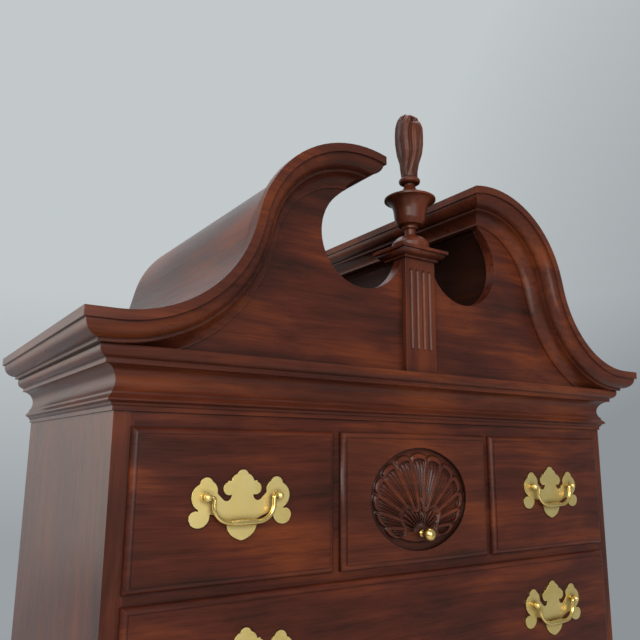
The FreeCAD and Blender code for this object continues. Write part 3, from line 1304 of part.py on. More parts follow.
# ---------------------------------------------------------------------------------------------
# Check and write
# ---------------------------------------------------------------------------------------------
doc.recompute()
for thing in doc.Objects:
    if "Invalid" in thing.State or "Error" in thing.State:
        raise RuntimeError(f"{thing.Label} failed: {thing.State}")
os.makedirs("parts", exist_ok=True)
for piece in NODES:
    shape = piece.Shape
    if shape.isNull() or not shape.isValid() or not shape.Solids:
        raise RuntimeError(f"{piece.Label} has no valid solid")
    shape.exportStep(f"parts/{piece.Label}.step")
print(len(NODES), "nodes,", sum(len(piece.Shape.Solids) for piece in NODES), "solids")
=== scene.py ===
# %% [markdown]
# # A bonnet-top highboy
# A highboy is a chest of drawers that stands on a lower case with curved legs. The joinery comes
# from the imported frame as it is. This script gives every piece its finish, carves the two shell
# drawers and the flame of the finial in finer detail, turns the knobs, softens the brass plates
# and bails, and lights the whole. All lengths are metres: the floor is z = 0, the front faces -Y,
# and the case stands symmetrically about x = 0.

# %% Load the frame
import math

import bmesh
import bpy
from mathutils import Matrix, Vector


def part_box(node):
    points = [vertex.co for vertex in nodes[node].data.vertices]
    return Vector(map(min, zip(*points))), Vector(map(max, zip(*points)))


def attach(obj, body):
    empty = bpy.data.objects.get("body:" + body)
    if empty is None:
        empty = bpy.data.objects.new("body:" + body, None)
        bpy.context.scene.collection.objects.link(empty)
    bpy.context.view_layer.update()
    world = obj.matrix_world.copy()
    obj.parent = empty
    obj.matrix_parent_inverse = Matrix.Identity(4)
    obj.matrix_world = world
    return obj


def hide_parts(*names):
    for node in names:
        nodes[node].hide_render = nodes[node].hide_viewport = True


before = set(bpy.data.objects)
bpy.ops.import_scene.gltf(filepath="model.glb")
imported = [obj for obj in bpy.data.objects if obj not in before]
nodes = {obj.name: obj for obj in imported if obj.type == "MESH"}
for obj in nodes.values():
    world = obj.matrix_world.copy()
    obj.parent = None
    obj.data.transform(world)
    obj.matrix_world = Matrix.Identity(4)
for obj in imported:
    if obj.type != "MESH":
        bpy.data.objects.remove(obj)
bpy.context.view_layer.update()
scene = bpy.context.scene

# %% [markdown]
# ## The camera
# The highboy is seen from its front left and from below the cornice, so the swan necks stand
# against the wall. A camera can be placed with a Track To constraint or by its angles. Here the
# angles are known, so the three axes of the camera are written as a matrix: it looks along -Z of
# its own, with +Y up.

# %% Camera
HEADING, PITCH, ROLL = (math.radians(a) for a in (33.53, 11.223, 0.479))
CAMERA_AT_MM = Vector((-701.8, -1023.6, 1628.3))
SENSOR_MM, FOCAL_MM = 36, 37.22

ahead = Vector((math.sin(HEADING) * math.cos(PITCH), math.cos(HEADING) * math.cos(PITCH),
                math.sin(PITCH)))
level = Vector((math.cos(HEADING), -math.sin(HEADING), 0))
above = level.cross(ahead)
right = level * math.cos(ROLL) + above * math.sin(ROLL)
upward = above * math.cos(ROLL) - level * math.sin(ROLL)

camera = bpy.data.objects.new("camera", bpy.data.cameras.new("camera"))
scene.collection.objects.link(camera)
camera.data.sensor_width = SENSOR_MM
camera.data.lens = FOCAL_MM
axes = Matrix((right, upward, -ahead)).transposed().to_4x4()
camera.matrix_world = Matrix.Translation(CAMERA_AT_MM / 1000) @ axes
scene.camera = camera
scene.view_settings.view_transform = "Standard"
print("the camera stands", round(camera.location.z, 3), "m above the floor")

# %% [markdown]
# ## Colours and nodes
# Colours are written as the hex values that a paint chart gives. The renderer works with linear
# light, so one function turns them. One more function adds a shader node: it takes the kind of
# node, its settings, and its inputs, each of them a value or the output of another node.

# %% Helpers for colours and nodes
def linear(hex_code):
    """An sRGB hex colour as linear red, green, blue and alpha."""
    parts = [int(hex_code[i:i + 2], 16) / 255 for i in (1, 3, 5)]
    return [c / 12.92 if c <= 0.04045 else ((c + 0.055) / 1.055) ** 2.4 for c in parts] + [1]


def add(tree, kind, inputs=(), **settings):
    """Add a node with its settings; an input is a value or another node's output socket."""
    node = tree.nodes.new("ShaderNode" + kind)
    for name, setting in settings.items():
        setattr(node, name, setting)
    for key, given in dict(inputs).items():
        if isinstance(given, bpy.types.NodeSocket):
            tree.links.new(given, node.inputs[key])
        else:
            node.inputs[key].default_value = given
    return node


def start(name):
    """A new material, its tree, and its output node."""
    material = bpy.data.materials.new(name)
    material.use_nodes = True
    tree = material.node_tree
    tree.nodes.clear()
    return material, tree, tree.nodes.new("ShaderNodeOutputMaterial")


def stops(ramp_node, *pairs):
    """Set a colour ramp's stops from pairs of place and hex colour."""
    ramp = ramp_node.color_ramp
    while len(ramp.elements) < len(pairs):
        ramp.elements.new(0.5)
    for element, (place, colour) in zip(ramp.elements, pairs):
        element.position = place
        element.color = linear(colour)
    return ramp_node.outputs["Color"]


# %% [markdown]
# ## Room and light
# The room is a plain pale floor and a plain pale wall. The wall is the world's own colour, which
# only the camera and mirror-like rays see. Painted shade darkens it a little downwards, to the
# right and towards the front of the room, as shade falls on a wall beside a window. The light
# itself comes from four large soft lamps and from an even white world, which together show a
# colour about as it is written.

# %% World
WALL_LIGHT, WALL_DARK = "#c3c9cb", "#8c9296"
AMBIENT = 0.46

world = bpy.data.worlds.new("room")
scene.world = world
world.use_nodes = True
room = world.node_tree
room.nodes.clear()
direction = add(room, "SeparateXYZ", {0: add(room, "TexCoord").outputs["Generated"]})
# Painted shade on the wall: darker downwards, to the right and towards the front of the room.
downward = add(room, "MapRange", {"Value": direction.outputs["Z"], "From Min": 0.22,
                                  "From Max": -0.12, "To Min": 0.0, "To Max": 0.8})
sideways = add(room, "MapRange", {"Value": direction.outputs["X"], "From Min": 0.62,
                                  "From Max": 0.9, "To Min": 0.0, "To Max": 0.75})
behind = add(room, "MapRange", {"Value": direction.outputs["Y"], "From Min": 0.2,
                                "From Max": -0.4, "To Min": 0.0, "To Max": 0.75})
sides = add(room, "Math", {0: downward.outputs[0], 1: sideways.outputs[0]}, operation="ADD")
shade = add(room, "Math", {0: sides.outputs[0], 1: behind.outputs[0]}, operation="ADD",
            use_clamp=True)
wall = add(room, "Mix", {0: shade.outputs[0], 6: linear(WALL_LIGHT), 7: linear(WALL_DARK)},
           data_type="RGBA")
seen = add(room, "Background", {"Color": wall.outputs[2], "Strength": 1.0})
even = add(room, "Background", {"Color": linear("#ffffff"), "Strength": AMBIENT})
path = add(room, "LightPath")
direct = add(room, "Math", {0: path.outputs["Is Camera Ray"], 1: path.outputs["Is Glossy Ray"]},
             operation="MAXIMUM")
shown = add(room, "Math", {0: direct.outputs[0], 1: path.outputs["Is Transmission Ray"]},
            operation="MAXIMUM")
both = add(room, "MixShader", {0: shown.outputs[0], 1: even.outputs[0], 2: seen.outputs[0]})
add(room, "OutputWorld", {"Surface": both.outputs[0]})


# %% Lamps
def lamp(name, place, target, size, watts, tint):
    """A square soft lamp that faces its target."""
    light = bpy.data.lights.new(name, "AREA")
    light.size = size
    light.energy = watts
    light.color = linear(tint)[:3]
    stand = bpy.data.objects.new(name, light)
    scene.collection.objects.link(stand)
    stand.location = place
    aim = Vector(target) - Vector(place)
    stand.rotation_euler = aim.to_track_quat("-Z", "Y").to_euler()


lamp("window_lamp", (-2.6, -2.4, 3.0), (0, 0, 1.5), 1.8, 82, "#fff8ee")
lamp("front_lamp", (-0.9, -3.8, 2.3), (0, 0, 1.3), 2.2, 56, "#ffffff")
lamp("top_lamp", (0.2, 0.6, 4.2), (0, 0, 1.6), 2.4, 48, "#f2f6ff")
lamp("far_window", (-3.2, 4.0, 2.0), (-0.4, 0, 1.6), 2.6, 42, "#ffefe0")

# %% [markdown]
# The floor is a wide pale disc. Its surface is painted board: a faint mottle and a soft sheen.

# %% Floor
FLOOR_RADIUS = 5.0
floor_mesh = bmesh.new()
bmesh.ops.create_circle(floor_mesh, cap_ends=True, segments=96, radius=FLOOR_RADIUS)
floor_data = bpy.data.meshes.new("floor")
floor_mesh.to_mesh(floor_data)
floor_mesh.free()
floor = bpy.data.objects.new("floor", floor_data)
scene.collection.objects.link(floor)

painted, tree, out = start("painted_floor")
where = add(tree, "TexCoord").outputs["Object"]
mottle = add(tree, "TexNoise", {"Vector": where, "Scale": 3.0, "Detail": 4.0})
paint = stops(add(tree, "ValToRGB", {"Fac": mottle.outputs[0]}), (0.3, "#bfc3c5"),
              (0.7, "#c6cacc"))
coat = add(tree, "BsdfPrincipled", {"Base Color": paint, "Roughness": 0.55})
tree.links.new(coat.outputs[0], out.inputs["Surface"])
floor_data.materials.append(painted)
print("the floor is", 2 * FLOOR_RADIUS, "m across")

# %% [markdown]
# ## Mahogany
# The case is mahogany, planed and scraped, stained a deep red-brown, and rubbed to a satin with
# lacquer and wax. What the eye gets from that: long fine streaks of darker pores along the grain,
# a broad cloudy figure that goes from near black-brown to warm orange-brown, and edges a little
# paler where cloths have rubbed them. Shade is painted in as well: the colour goes darker in every
# corner and carved hollow, where other wood is near.
# The grain could be painted as a picture, but noise that is stretched along one axis follows
# every board through its thickness, as real grain does. Each piece's grain has a direction, so
# the coordinates are first turned to make the grain run along X.

# %% Grain direction
SIDE_RUN = 0.234          # where x + y is larger than this, a moulding runs back along the side


def along_grain(tree, run):
    """Object coordinates turned so that the grain runs along their X: run is x, y, z or
    mitred, for mouldings that turn the corners of the case."""
    where = add(tree, "TexCoord").outputs["Object"]
    if run == "x":
        return where
    axis = add(tree, "SeparateXYZ", {0: where})
    x, y, z = (axis.outputs[name] for name in "XYZ")
    if run == "z":
        return add(tree, "CombineXYZ", {"X": z, "Y": y, "Z": x}).outputs[0]
    turned = add(tree, "CombineXYZ", {"X": y, "Y": x, "Z": z}).outputs[0]
    if run == "y":
        return turned
    outward = add(tree, "Math", {0: x}, operation="ABSOLUTE")
    beyond = add(tree, "Math", {0: outward.outputs[0], 1: y}, operation="ADD")
    on_side = add(tree, "Math", {0: beyond.outputs[0], 1: SIDE_RUN}, operation="GREATER_THAN")
    return add(tree, "Mix", {0: on_side.outputs[0], 4: where, 5: turned},
               data_type="VECTOR").outputs[1]


# %% [markdown]
# The figure is about 60 mm across and three times as long. Streaks are about 5 mm apart, and the
# pores are 0.6 mm wide in real wood, drawn here at 1.2 mm so that they show.

# %% Mahogany
PER_M = 1000.0


def mahogany(name, run, dark, middle, warm, gloss=0.3, painted_shade=0.6, coat=0.08,
             reach=0.012):
    """Stained and lacquered mahogany with its grain along run. Painted shade darkens every
    place that has other wood within reach."""
    material, tree, out = start(name)
    grain = along_grain(tree, run)
    wavy = add(tree, "TexNoise", {"Vector": grain, "Scale": 3.0, "Detail": 1.0})
    bent = add(tree, "VectorMath", {0: wavy.outputs["Color"], 1: (0.10, 0.035, 0.035)},
               operation="MULTIPLY")
    line = add(tree, "VectorMath", {0: grain, 1: bent.outputs[0]}, operation="ADD")
    broad = add(tree, "Mapping", {"Vector": line.outputs[0], "Scale": (0.3, 1.0, 1.0)})
    figure = add(tree, "TexNoise", {"Vector": broad.outputs[0], "Scale": PER_M / 75,
                                    "Detail": 3.0, "Roughness": 0.55})
    fine = add(tree, "Mapping", {"Vector": line.outputs[0], "Scale": (0.035, 1.0, 1.0)})
    streak = add(tree, "TexNoise", {"Vector": fine.outputs[0], "Scale": PER_M / 9,
                                    "Detail": 4.0, "Roughness": 0.6})
    pore = add(tree, "TexNoise", {"Vector": fine.outputs[0], "Scale": PER_M / 1.8,
                                  "Detail": 1.0})
    tone = add(tree, "Mix", {0: 0.3, 2: figure.outputs[0], 3: streak.outputs[0]})
    colour = stops(add(tree, "ValToRGB", {"Fac": tone.outputs[0]}),
                   (0.34, dark), (0.5, middle), (0.66, warm))
    open_pore = add(tree, "MapRange", {"Value": pore.outputs[0], "From Min": 0.36,
                                       "From Max": 0.5, "To Min": 0.82, "To Max": 1.0})
    specked = add(tree, "Mix", {0: 1.0, 6: colour, 7: open_pore.outputs[0]}, data_type="RGBA",
                  blend_type="MULTIPLY")

    # Painted shade: where the AO node finds other wood near, the colour goes towards near
    # black-brown.
    near = add(tree, "AmbientOcclusion", {"Distance": reach}, samples=4)
    corner = add(tree, "MapRange", {"Value": near.outputs["AO"], "From Min": 0.4,
                                    "From Max": 0.97, "To Min": painted_shade, "To Max": 0.0})
    with_painted_shade = add(tree, "Mix", {0: corner.outputs[0], 6: specked.outputs[2],
                               7: linear("#150a07")}, data_type="RGBA")

    satin = add(tree, "MapRange", {"Value": streak.outputs[0], "From Min": 0.3,
                                   "From Max": 0.7, "To Min": gloss - 0.05,
                                   "To Max": gloss + 0.07})
    ridges = add(tree, "Mix", {0: 0.35, 2: streak.outputs[0], 3: open_pore.outputs[0]})
    eased = add(tree, "Bevel", {"Radius": 0.0012}, samples=4)
    relief = add(tree, "Bump", {"Height": ridges.outputs[0], "Strength": 0.12,
                                "Distance": 0.0006, "Normal": eased.outputs[0]})
    surface = add(tree, "BsdfPrincipled", {
        "Base Color": with_painted_shade.outputs[2], "Roughness": satin.outputs[0],
        "Normal": relief.outputs[0], "Specular IOR Level": 0.2, "Coat Weight": coat,
        "Coat Roughness": 0.24})
    tree.links.new(surface.outputs[0], out.inputs["Surface"])
    return material


HOLE_X, HOLE_Z, HOLE_RADIUS = 0.107, 1.95018, 0.0778


def paint_shade_inside(material):
    """Paint shade on the bent sheets behind the round openings: nearly black, dull and without
    sheen.
    """
    tree = material.node_tree
    shader = next(node for node in tree.nodes if node.type == "BSDF_PRINCIPLED")
    wood = shader.inputs["Base Color"].links[0].from_socket
    where = add(tree, "SeparateXYZ", {0: add(tree, "TexCoord").outputs["Object"]})
    outward = add(tree, "Math", {0: where.outputs["X"]}, operation="ABSOLUTE")
    around = add(tree, "CombineXYZ", {"X": outward.outputs[0], "Z": where.outputs["Z"]})
    away = add(tree, "VectorMath", {0: around.outputs[0], 1: (HOLE_X, 0, HOLE_Z)},
               operation="DISTANCE")
    inside = add(tree, "MapRange", {"Value": away.outputs["Value"],
                                    "From Min": HOLE_RADIUS + 0.0075,
                                    "From Max": HOLE_RADIUS + 0.006, "To Max": 0.85})
    # Painted shade: inside the openings the colour goes nearly black.
    shaded = add(tree, "Mix", {0: inside.outputs[0], 6: wood, 7: linear("#120b09")},
                 data_type="RGBA")
    tree.links.new(shaded.outputs[2], shader.inputs["Base Color"])
    satin = shader.inputs["Roughness"].links[0].from_socket
    dull = add(tree, "Mix", {0: inside.outputs[0], 2: satin, 3: 0.95})
    tree.links.new(dull.outputs[0], shader.inputs["Roughness"])
    for sheen in ("Coat Weight", "Specular IOR Level"):
        bare = add(tree, "Mix", {0: inside.outputs[0], 2: shader.inputs[sheen].default_value,
                                 3: 0.0})
        tree.links.new(bare.outputs[0], shader.inputs[sheen])


STAIN = ("#391b11", "#4f2416", "#6b3317")
boards = mahogany("mahogany_boards", "x", "#2c150d", "#481f14", "#693116")
uprights = mahogany("mahogany_uprights", "z", *STAIN)
bonnet = mahogany("mahogany_bonnet_sheets", "y", *STAIN, coat=0.16)
paint_shade_inside(bonnet)
mouldings = mahogany("mahogany_mouldings", "mitred", *STAIN)
turnings = mahogany("mahogany_turnings", "z", "#38190f", "#5a2917", "#7a3a1e", gloss=0.34)
print(len(bpy.data.materials), "materials")

# %% [markdown]
# ## Poplar
# Drawer sides, runners and backs are a plain, pale wood that gets no stain: poplar, planed and
# left bare. It has a matt surface, a greenish tan colour and wide soft bands.


# %% Poplar
def poplar(name, run):
    """Bare planed poplar."""
    material, tree, out = start(name)
    grain = along_grain(tree, run)
    wide = add(tree, "Mapping", {"Vector": grain, "Scale": (0.08, 1.0, 1.0)})
    band = add(tree, "TexNoise", {"Vector": wide.outputs[0], "Scale": PER_M / 40, "Detail": 5.0,
                                  "Roughness": 0.6})
    colour = stops(add(tree, "ValToRGB", {"Fac": band.outputs[0]}), (0.3, "#94744c"),
                   (0.5, "#b3905f"), (0.7, "#c4a574"))
    rough = add(tree, "MapRange", {"Value": band.outputs[0], "To Min": 0.6, "To Max": 0.78})
    relief = add(tree, "Bump", {"Height": band.outputs[0], "Strength": 0.15,
                                "Distance": 0.0008})
    surface = add(tree, "BsdfPrincipled", {"Base Color": colour, "Roughness": rough.outputs[0],
                                           "Normal": relief.outputs[0]})
    tree.links.new(surface.outputs[0], out.inputs["Surface"])
    return material


boxes = poplar("poplar_planed", "y")
panels = poplar("poplar_panels", "z")

# %% [markdown]
# ## Brass
# The plates are cast, filed and polished flat, and lacquered. That keeps a fine satin from the
# last polishing strokes and a little brown tarnish in the corners, which is made darker with
# painted shade where other parts are near. The posts, bails and knobs are turned and polished
# brighter.


# %% Brass
def brass(name, tone, gloss, grit):
    """Lacquered brass; grit is the size of its surface marks in millimetres."""
    material, tree, out = start(name)
    where = add(tree, "TexCoord").outputs["Object"]
    stroke = add(tree, "Mapping", {"Vector": where, "Scale": (0.25, 1.0, 1.0)})
    marks = add(tree, "TexNoise", {"Vector": stroke.outputs[0], "Scale": PER_M / grit,
                                   "Detail": 3.0})
    cloud = add(tree, "TexNoise", {"Vector": where, "Scale": PER_M / 30, "Detail": 2.0})
    # Brown tarnish in the corners, deepened as painted shade where the AO node finds other parts
    # near.
    near = add(tree, "AmbientOcclusion", {"Distance": 0.009}, samples=4)
    corner = add(tree, "MapRange", {"Value": near.outputs["AO"], "From Min": 0.3,
                                    "From Max": 0.9, "To Min": 0.85, "To Max": 0.0})
    clean = stops(add(tree, "ValToRGB", {"Fac": cloud.outputs[0]}), (0.3, tone[0]),
                  (0.7, tone[1]))
    tarnish_and_shade = add(tree, "Mix", {0: corner.outputs[0], 6: clean, 7: linear("#4d3812")},
                data_type="RGBA")
    satin = add(tree, "MapRange", {"Value": marks.outputs[0], "From Min": 0.3, "From Max": 0.7,
                                   "To Min": gloss - 0.04, "To Max": gloss + 0.06})
    eased = add(tree, "Bevel", {"Radius": 0.0005}, samples=4)
    relief = add(tree, "Bump", {"Height": marks.outputs[0], "Strength": 0.1,
                                "Distance": 0.0003, "Normal": eased.outputs[0]})
    surface = add(tree, "BsdfPrincipled", {
        "Base Color": tarnish_and_shade.outputs[2], "Metallic": 1.0, "Roughness": satin.outputs[0],
        "Normal": relief.outputs[0]})
    tree.links.new(surface.outputs[0], out.inputs["Surface"])
    return material

# %% [markdown]
# ## Tools for carved work
# A carving is easiest to lay out on a polar grid, as a carver does from the centre of the shell
# with a compass and a ruler. In Blender the grid comes from a row of points that `spin` turns
# round an axis. After that, each point is moved to its place on the carved surface by its turn
# and its distance, which keeps the grid tidy however deep the gouge cuts go.

# %% Helpers for carved work
def smooth(low, high, at):
    """A soft step from 0 at low to 1 at high."""
    share = min(max((at - low) / (high - low), 0.0), 1.0)
    return share * share * (3 - 2 * share)


def polar_grid(stations, steps, axis):
    """A bmesh disc: points at the given distances along X, turned round the axis."""
    grid = bmesh.new()
    row = [grid.verts.new((station, 0, 0)) for station in stations]
    edges = [grid.edges.new(pair) for pair in zip(row, row[1:])]
    bmesh.ops.spin(grid, geom=row + edges, cent=(0, 0, 0), axis=axis, dvec=(0, 0, 0),
                   angle=math.tau, steps=steps, use_merge=True, use_duplicate=False)
    bmesh.ops.remove_doubles(grid, verts=grid.verts, dist=1e-6)
    return grid


def finished(name, mesh, body, stands_for, material):
    """An object from a finished bmesh, riding on its body in place of a frame piece."""
    data = bpy.data.meshes.new(name)
    mesh.to_mesh(data)
    mesh.free()
    data.materials.append(material)
    piece = bpy.data.objects.new(name, data)
    scene.collection.objects.link(piece)
    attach(piece, body)
    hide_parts(stands_for)
    return piece


def merged_copy(node):
    """The mesh of a frame piece as a bmesh with its loose triangles joined."""
    copy = bmesh.new()
    copy.from_mesh(node.data)
    bmesh.ops.remove_doubles(copy, verts=copy.verts, dist=1e-6)
    return copy


# %% [markdown]
# ## The carved shells
# The middle drawer of each small row carries a shell that is carved from the front itself, in a
# sunk oval. It has thirteen lobes round the hub where the knob sits. Each lobe ends in a raised,
# rounded rim. Between the lobes smooth ribs run down to the middle, and each lobe holds three fine
# reeds in a hollow panel. Round the hub lies a small inner shell with a pointed edge and narrow
# rays in a deep hollow. A sculpted or displaced grid could make it, and so could many cut
# solids. A grid laid out by turn and distance is chosen, because every gouge line then runs
# along the mesh and stays crisp.

# %% Sizes of a shell
OVAL_HALF_WIDTH, OVAL_HALF_HEIGHT, OVAL_TURN = 0.096, 0.0755, math.radians(50)
OVAL_MIDDLE = 0.0935                  # above the front's lower edge
HUB_HEIGHT = 0.0435                   # the knob, above the same edge
RING, RING_TOP = 0.009, 0.012         # plain sunk ground beside the shell and over it
GROUND_DEPTH = 0.006
RISE, RIM_RISE = 0.0075, 0.0042       # the dome's height at the hub and at its far rim
LOBES, LOBE_TURN = 13, 23.0
BAND = 0.0095                         # the rounded head of a lobe
BEND = math.radians(15)               # how much steeper the ribs leave the hub
SCALLOP = math.radians(40)            # half the arc of one scallop
BASE_DROP = 0.009                     # how far the shell's base sags between its ends
EDGE_ROUND = 0.0045                   # the rounding of the shell's outer edge
KNOB_SEAT = 0.014                     # radius of the flat place under the knob
LIFT = OVAL_MIDDLE - HUB_HEIGHT
REACH = LIFT + OVAL_HALF_HEIGHT
last_turn = LOBES * LOBE_TURN / 2
print("each shell turns through", 2 * last_turn, "degrees in", LOBES, "lobes")

# %% [markdown]
# The sunk oval is drawn with four arcs, as a joiner draws it with a compass. A point is inside
# when it is nearer to its arc's centre than that arc's radius.

# %% The oval and the scalloped edge
oval_step = (OVAL_HALF_WIDTH - OVAL_HALF_HEIGHT) / (math.sin(OVAL_TURN) + math.cos(OVAL_TURN) - 1)
end_radius = OVAL_HALF_WIDTH - oval_step * math.cos(OVAL_TURN)


def inside_oval(x, z):
    """Whether a point of the front, measured from the hub, lies in the sunk oval."""
    x, z = abs(x), abs(z - LIFT)
    end_x = oval_step * math.cos(OVAL_TURN)
    if x > end_x and math.atan2(z, x - end_x) < OVAL_TURN:
        return math.hypot(x - end_x, z) < end_radius
    return math.hypot(x, z + oval_step * math.sin(OVAL_TURN)) < oval_step + end_radius


def to_oval(direction):
    """How far it is from the hub to the oval in a direction."""
    near, far = 0.0, 0.2
    for _ in range(24):
        middle = (near + far) / 2
        if inside_oval(direction.x * middle, direction.y * middle):
            near = middle
        else:
            far = middle
    return near


def rim_point(turn):
    """The shell's edge between two scallops, for a turn in degrees from straight up."""
    angle = math.radians(turn)
    return Vector(((OVAL_HALF_WIDTH - RING) * math.sin(angle),
                   LIFT + (OVAL_HALF_HEIGHT - RING_TOP) * math.cos(angle)))


def shell_edge(turn):
    """The shell's edge at a turn from -180 to 180 degrees, with its scallops and its base."""
    if abs(turn) >= last_turn:
        corner = rim_point(last_turn)
        share = (180 - abs(turn)) / (180 - last_turn)
        drop = BASE_DROP * (1 - share * share)
        return Vector((math.copysign(corner.x * share, turn), corner.y - drop))
    lobe = math.floor((turn + last_turn) / LOBE_TURN)
    first = rim_point(lobe * LOBE_TURN - last_turn)
    last = rim_point((lobe + 1) * LOBE_TURN - last_turn)
    chord = last - first
    share = (turn + last_turn) / LOBE_TURN - lobe
    outward = Vector((-chord.y, chord.x)).normalized()
    radius = chord.length / 2 / math.sin(SCALLOP)
    along = (share - 0.5) * chord.length
    bulge = math.sqrt(radius * radius - along * along) - radius * math.cos(SCALLOP)
    return first + chord * share + outward * bulge


print("the top lobe reaches", round(shell_edge(0).y * 1000, 1), "mm above the knob")

# %% [markdown]
# The height of the carving over its ground depends on the place in a lobe (0 at its middle, 1 at
# the notch beside it) and on the distance to the hub and to the edge. Each feature of the real
# carving is one line: rounded rim, hollow panel, reeds, ribs, inner shell, rays and the flat
# seat of the knob.

# %% The carved surface
INNER_REACH, INNER_POINT = 0.0335, 0.013         # the inner shell, and the tip of its ogee
INNER_WIDER, INNER_BACK = 0.014, 0.016           # its shoulders, and where it closes below
PANEL_DEPTH, PANEL_RISE = 0.0046, 0.0016         # a lobe's hollow, and how it comes up inwards
REED_RISE, NOTCH_DEPTH = 0.0022, 0.0032
RAYS, RAY_RISE, RAY_HOLLOW = 18, 0.0036, 0.0056
LINE_DEPTH, LINE_WIDTH, LINE_OUT = 0.0013, 0.0009, 0.0016


def inner_edge(turn):
    """The pointed edge of the small inner shell, as a distance from the hub."""
    ogee = INNER_POINT * math.exp(-(turn / 8) ** 2)
    wide = INNER_WIDER * smooth(28, 64, abs(turn)) - INNER_BACK * smooth(85, 130, abs(turn))
    return INNER_REACH + ogee + wide


def lobe_height(place, to_edge):
    """What a lobe's carving adds: hollow panel, reeds, rib and notch."""
    down = smooth(BAND, BAND + 0.02, to_edge)
    side = 0.80 - 0.06 * down
    panel = (1 - smooth(side - 0.12, side, place)) * smooth(BAND - 0.0012, BAND + 0.001, to_edge)
    reed = 0.5 + 0.5 * math.cos(3 * math.pi * min(place / side, 1.0))
    rise = REED_RISE * smooth(BAND + 0.001, BAND + 0.009, to_edge)
    notch = smooth(0.72, 1.0, place) * (1 - smooth(0.001, 0.012, to_edge))
    return panel * (reed * rise - PANEL_DEPTH + PANEL_RISE * down) - NOTCH_DEPTH * notch


def inner_height(turn, distance, inner):
    """What the inner shell adds: a line round it and rays in a hollow."""
    hollow = smooth(0.0012, 0.0034, inner - distance) * smooth(0.0125, 0.0155, distance)
    ray = (0.5 + 0.5 * math.cos(math.radians(turn * RAYS))) ** 0.8 * RAY_RISE
    line = math.exp(-((distance - inner - LINE_OUT) / LINE_WIDTH) ** 2)
    risen = ray * smooth(0.0, 0.01, inner - distance)
    return -hollow * (RAY_HOLLOW - risen) - LINE_DEPTH * line


def carved_height(turn, distance, length):
    """Height of the shell over its ground at a turn and a distance from the hub."""
    height = RISE - (RISE - RIM_RISE) * (distance / REACH) ** 2
    to_edge = length - distance
    rounding = math.sqrt(max(1 - (1 - min(to_edge / EDGE_ROUND, 1.0)) ** 2, 0.0))
    place = abs(((turn + last_turn) % LOBE_TURN) / LOBE_TURN * 2 - 1)
    in_lobes = 1 - smooth(last_turn - 6, last_turn, abs(turn))
    inner = inner_edge(turn)
    height *= rounding
    height += lobe_height(place, to_edge) * in_lobes * smooth(0.001, 0.004, distance - inner)
    height += inner_height(turn, distance, inner) * (1 - smooth(120, 142, abs(turn)))
    return max(min(height, RISE), 0.0)


# %% [markdown]
# A row of points has its stations at 0 for the hub, 1 for the knob's seat, 2 for the inner shell's
# edge, 3 and 4 on both sides of a panel's steep head, 5 for the scalloped edge and 6 for the
# ground's end, which reaches 1 mm into the wood round the oval. Stretching the stations for every
# turn fits them to the scallops.

# %% Carve the two shell fronts
RING_COUNTS, TURN_STEPS = (3, 16, 14, 9, 11, 5), 720
INNER_CLEAR = 0.016                   # least distance from the inner shell to the outer edge
HEAD_IN, HEAD_OUT = 0.004, 0.0015     # a panel's steep head, either side of its line
INTO_WOOD = 0.001
FLAT = 0.0001                         # how far apart two heights still count as one


def rows(counts):
    """Stations from 0 to the number of parts, with each part divided as told."""
    places = [0.0]
    for part, count in enumerate(counts):
        places += [part + (step + 1) / count for step in range(count)]
    return places


def stretched(station, marks):
    """The distance that belongs to a station between the marks of one turn."""
    part = min(int(station), len(marks) - 2)
    return marks[part] + (marks[part + 1] - marks[part]) * (station - part)


def is_plain(face, hub_z, ground_y):
    """Whether a face of the front is the plain shell or the sunk ground round it."""
    if any(point.co.y > ground_y + FLAT for point in face.verts):
        return False
    on_ground = all(point.co.y > ground_y - FLAT for point in face.verts)
    wider = 0.999 if on_ground else 1.012
    return all(inside_oval(point.co.x * wider, (point.co.z - hub_z - LIFT) * wider + LIFT)
               for point in face.verts)


def carve_shell(row, material):
    """Replace a row's shell drawer front by a copy with the carving in its sunk oval."""
    name = row + "_shell_drawer_front"
    hub_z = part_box(name)[0].z + HUB_HEIGHT
    ground_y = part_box(row + "_left_drawer_front")[0].y + GROUND_DEPTH
    grid = polar_grid(rows(RING_COUNTS), TURN_STEPS, (0, 1, 0))
    for point in grid.verts:
        station = math.hypot(point.co.x, point.co.z)
        turn = math.degrees(math.atan2(point.co.x, point.co.z))
        edge = shell_edge(turn)
        direction = edge.normalized()
        length = edge.length
        marks = (0, KNOB_SEAT, min(inner_edge(turn), length - INNER_CLEAR),
                 length - BAND - HEAD_IN, length - BAND + HEAD_OUT, length,
                 to_oval(direction) + INTO_WOOD)
        marks = tuple(max(marks[:place + 1]) for place in range(len(marks)))
        distance = stretched(station, marks)
        height = carved_height(turn, distance, length) if station < 5 else 0.0
        bent = BEND * math.sin(math.radians(turn)) * max(1 - distance / length, 0.0) ** 1.5
        direction.rotate(Matrix.Rotation(bent, 2))
        point.co = (direction.x * distance, ground_y - height, hub_z + direction.y * distance)
    bmesh.ops.recalc_face_normals(grid, faces=grid.faces)
    if sum(face.normal.y * face.calc_area() for face in grid.faces) > 0:
        bmesh.ops.reverse_faces(grid, faces=grid.faces)
    for face in grid.faces:
        face.smooth = True
    carving = bpy.data.meshes.new(name + "_carving")
    grid.to_mesh(carving)
    grid.free()

    board = merged_copy(nodes[name])
    flat = [face for face in board.faces if is_plain(face, hub_z, ground_y)]
    bmesh.ops.delete(board, geom=flat, context="FACES")
    board.from_mesh(carving)
    finished(name + "_carved", board, row + "_shell_drawer", name, material)
    print(name, "loses", len(flat), "flat faces and gets", len(carving.polygons), "carved ones")
    bpy.data.meshes.remove(carving)


# The carving gets the strongest painted shade, reaching far into its hollows.
carved_wood = mahogany("mahogany_carved", "x", *STAIN, painted_shade=1.0, reach=0.02)
for row in ("top", "base"):
    carve_shell(row, carved_wood)

# %% [markdown]
# ## The knobs
# A knob is turned from brass rod in a lathe: a small rose on the wood, a slim neck with a bead,
# and a ball. Its outline is spun round the axis that points out of the drawer.

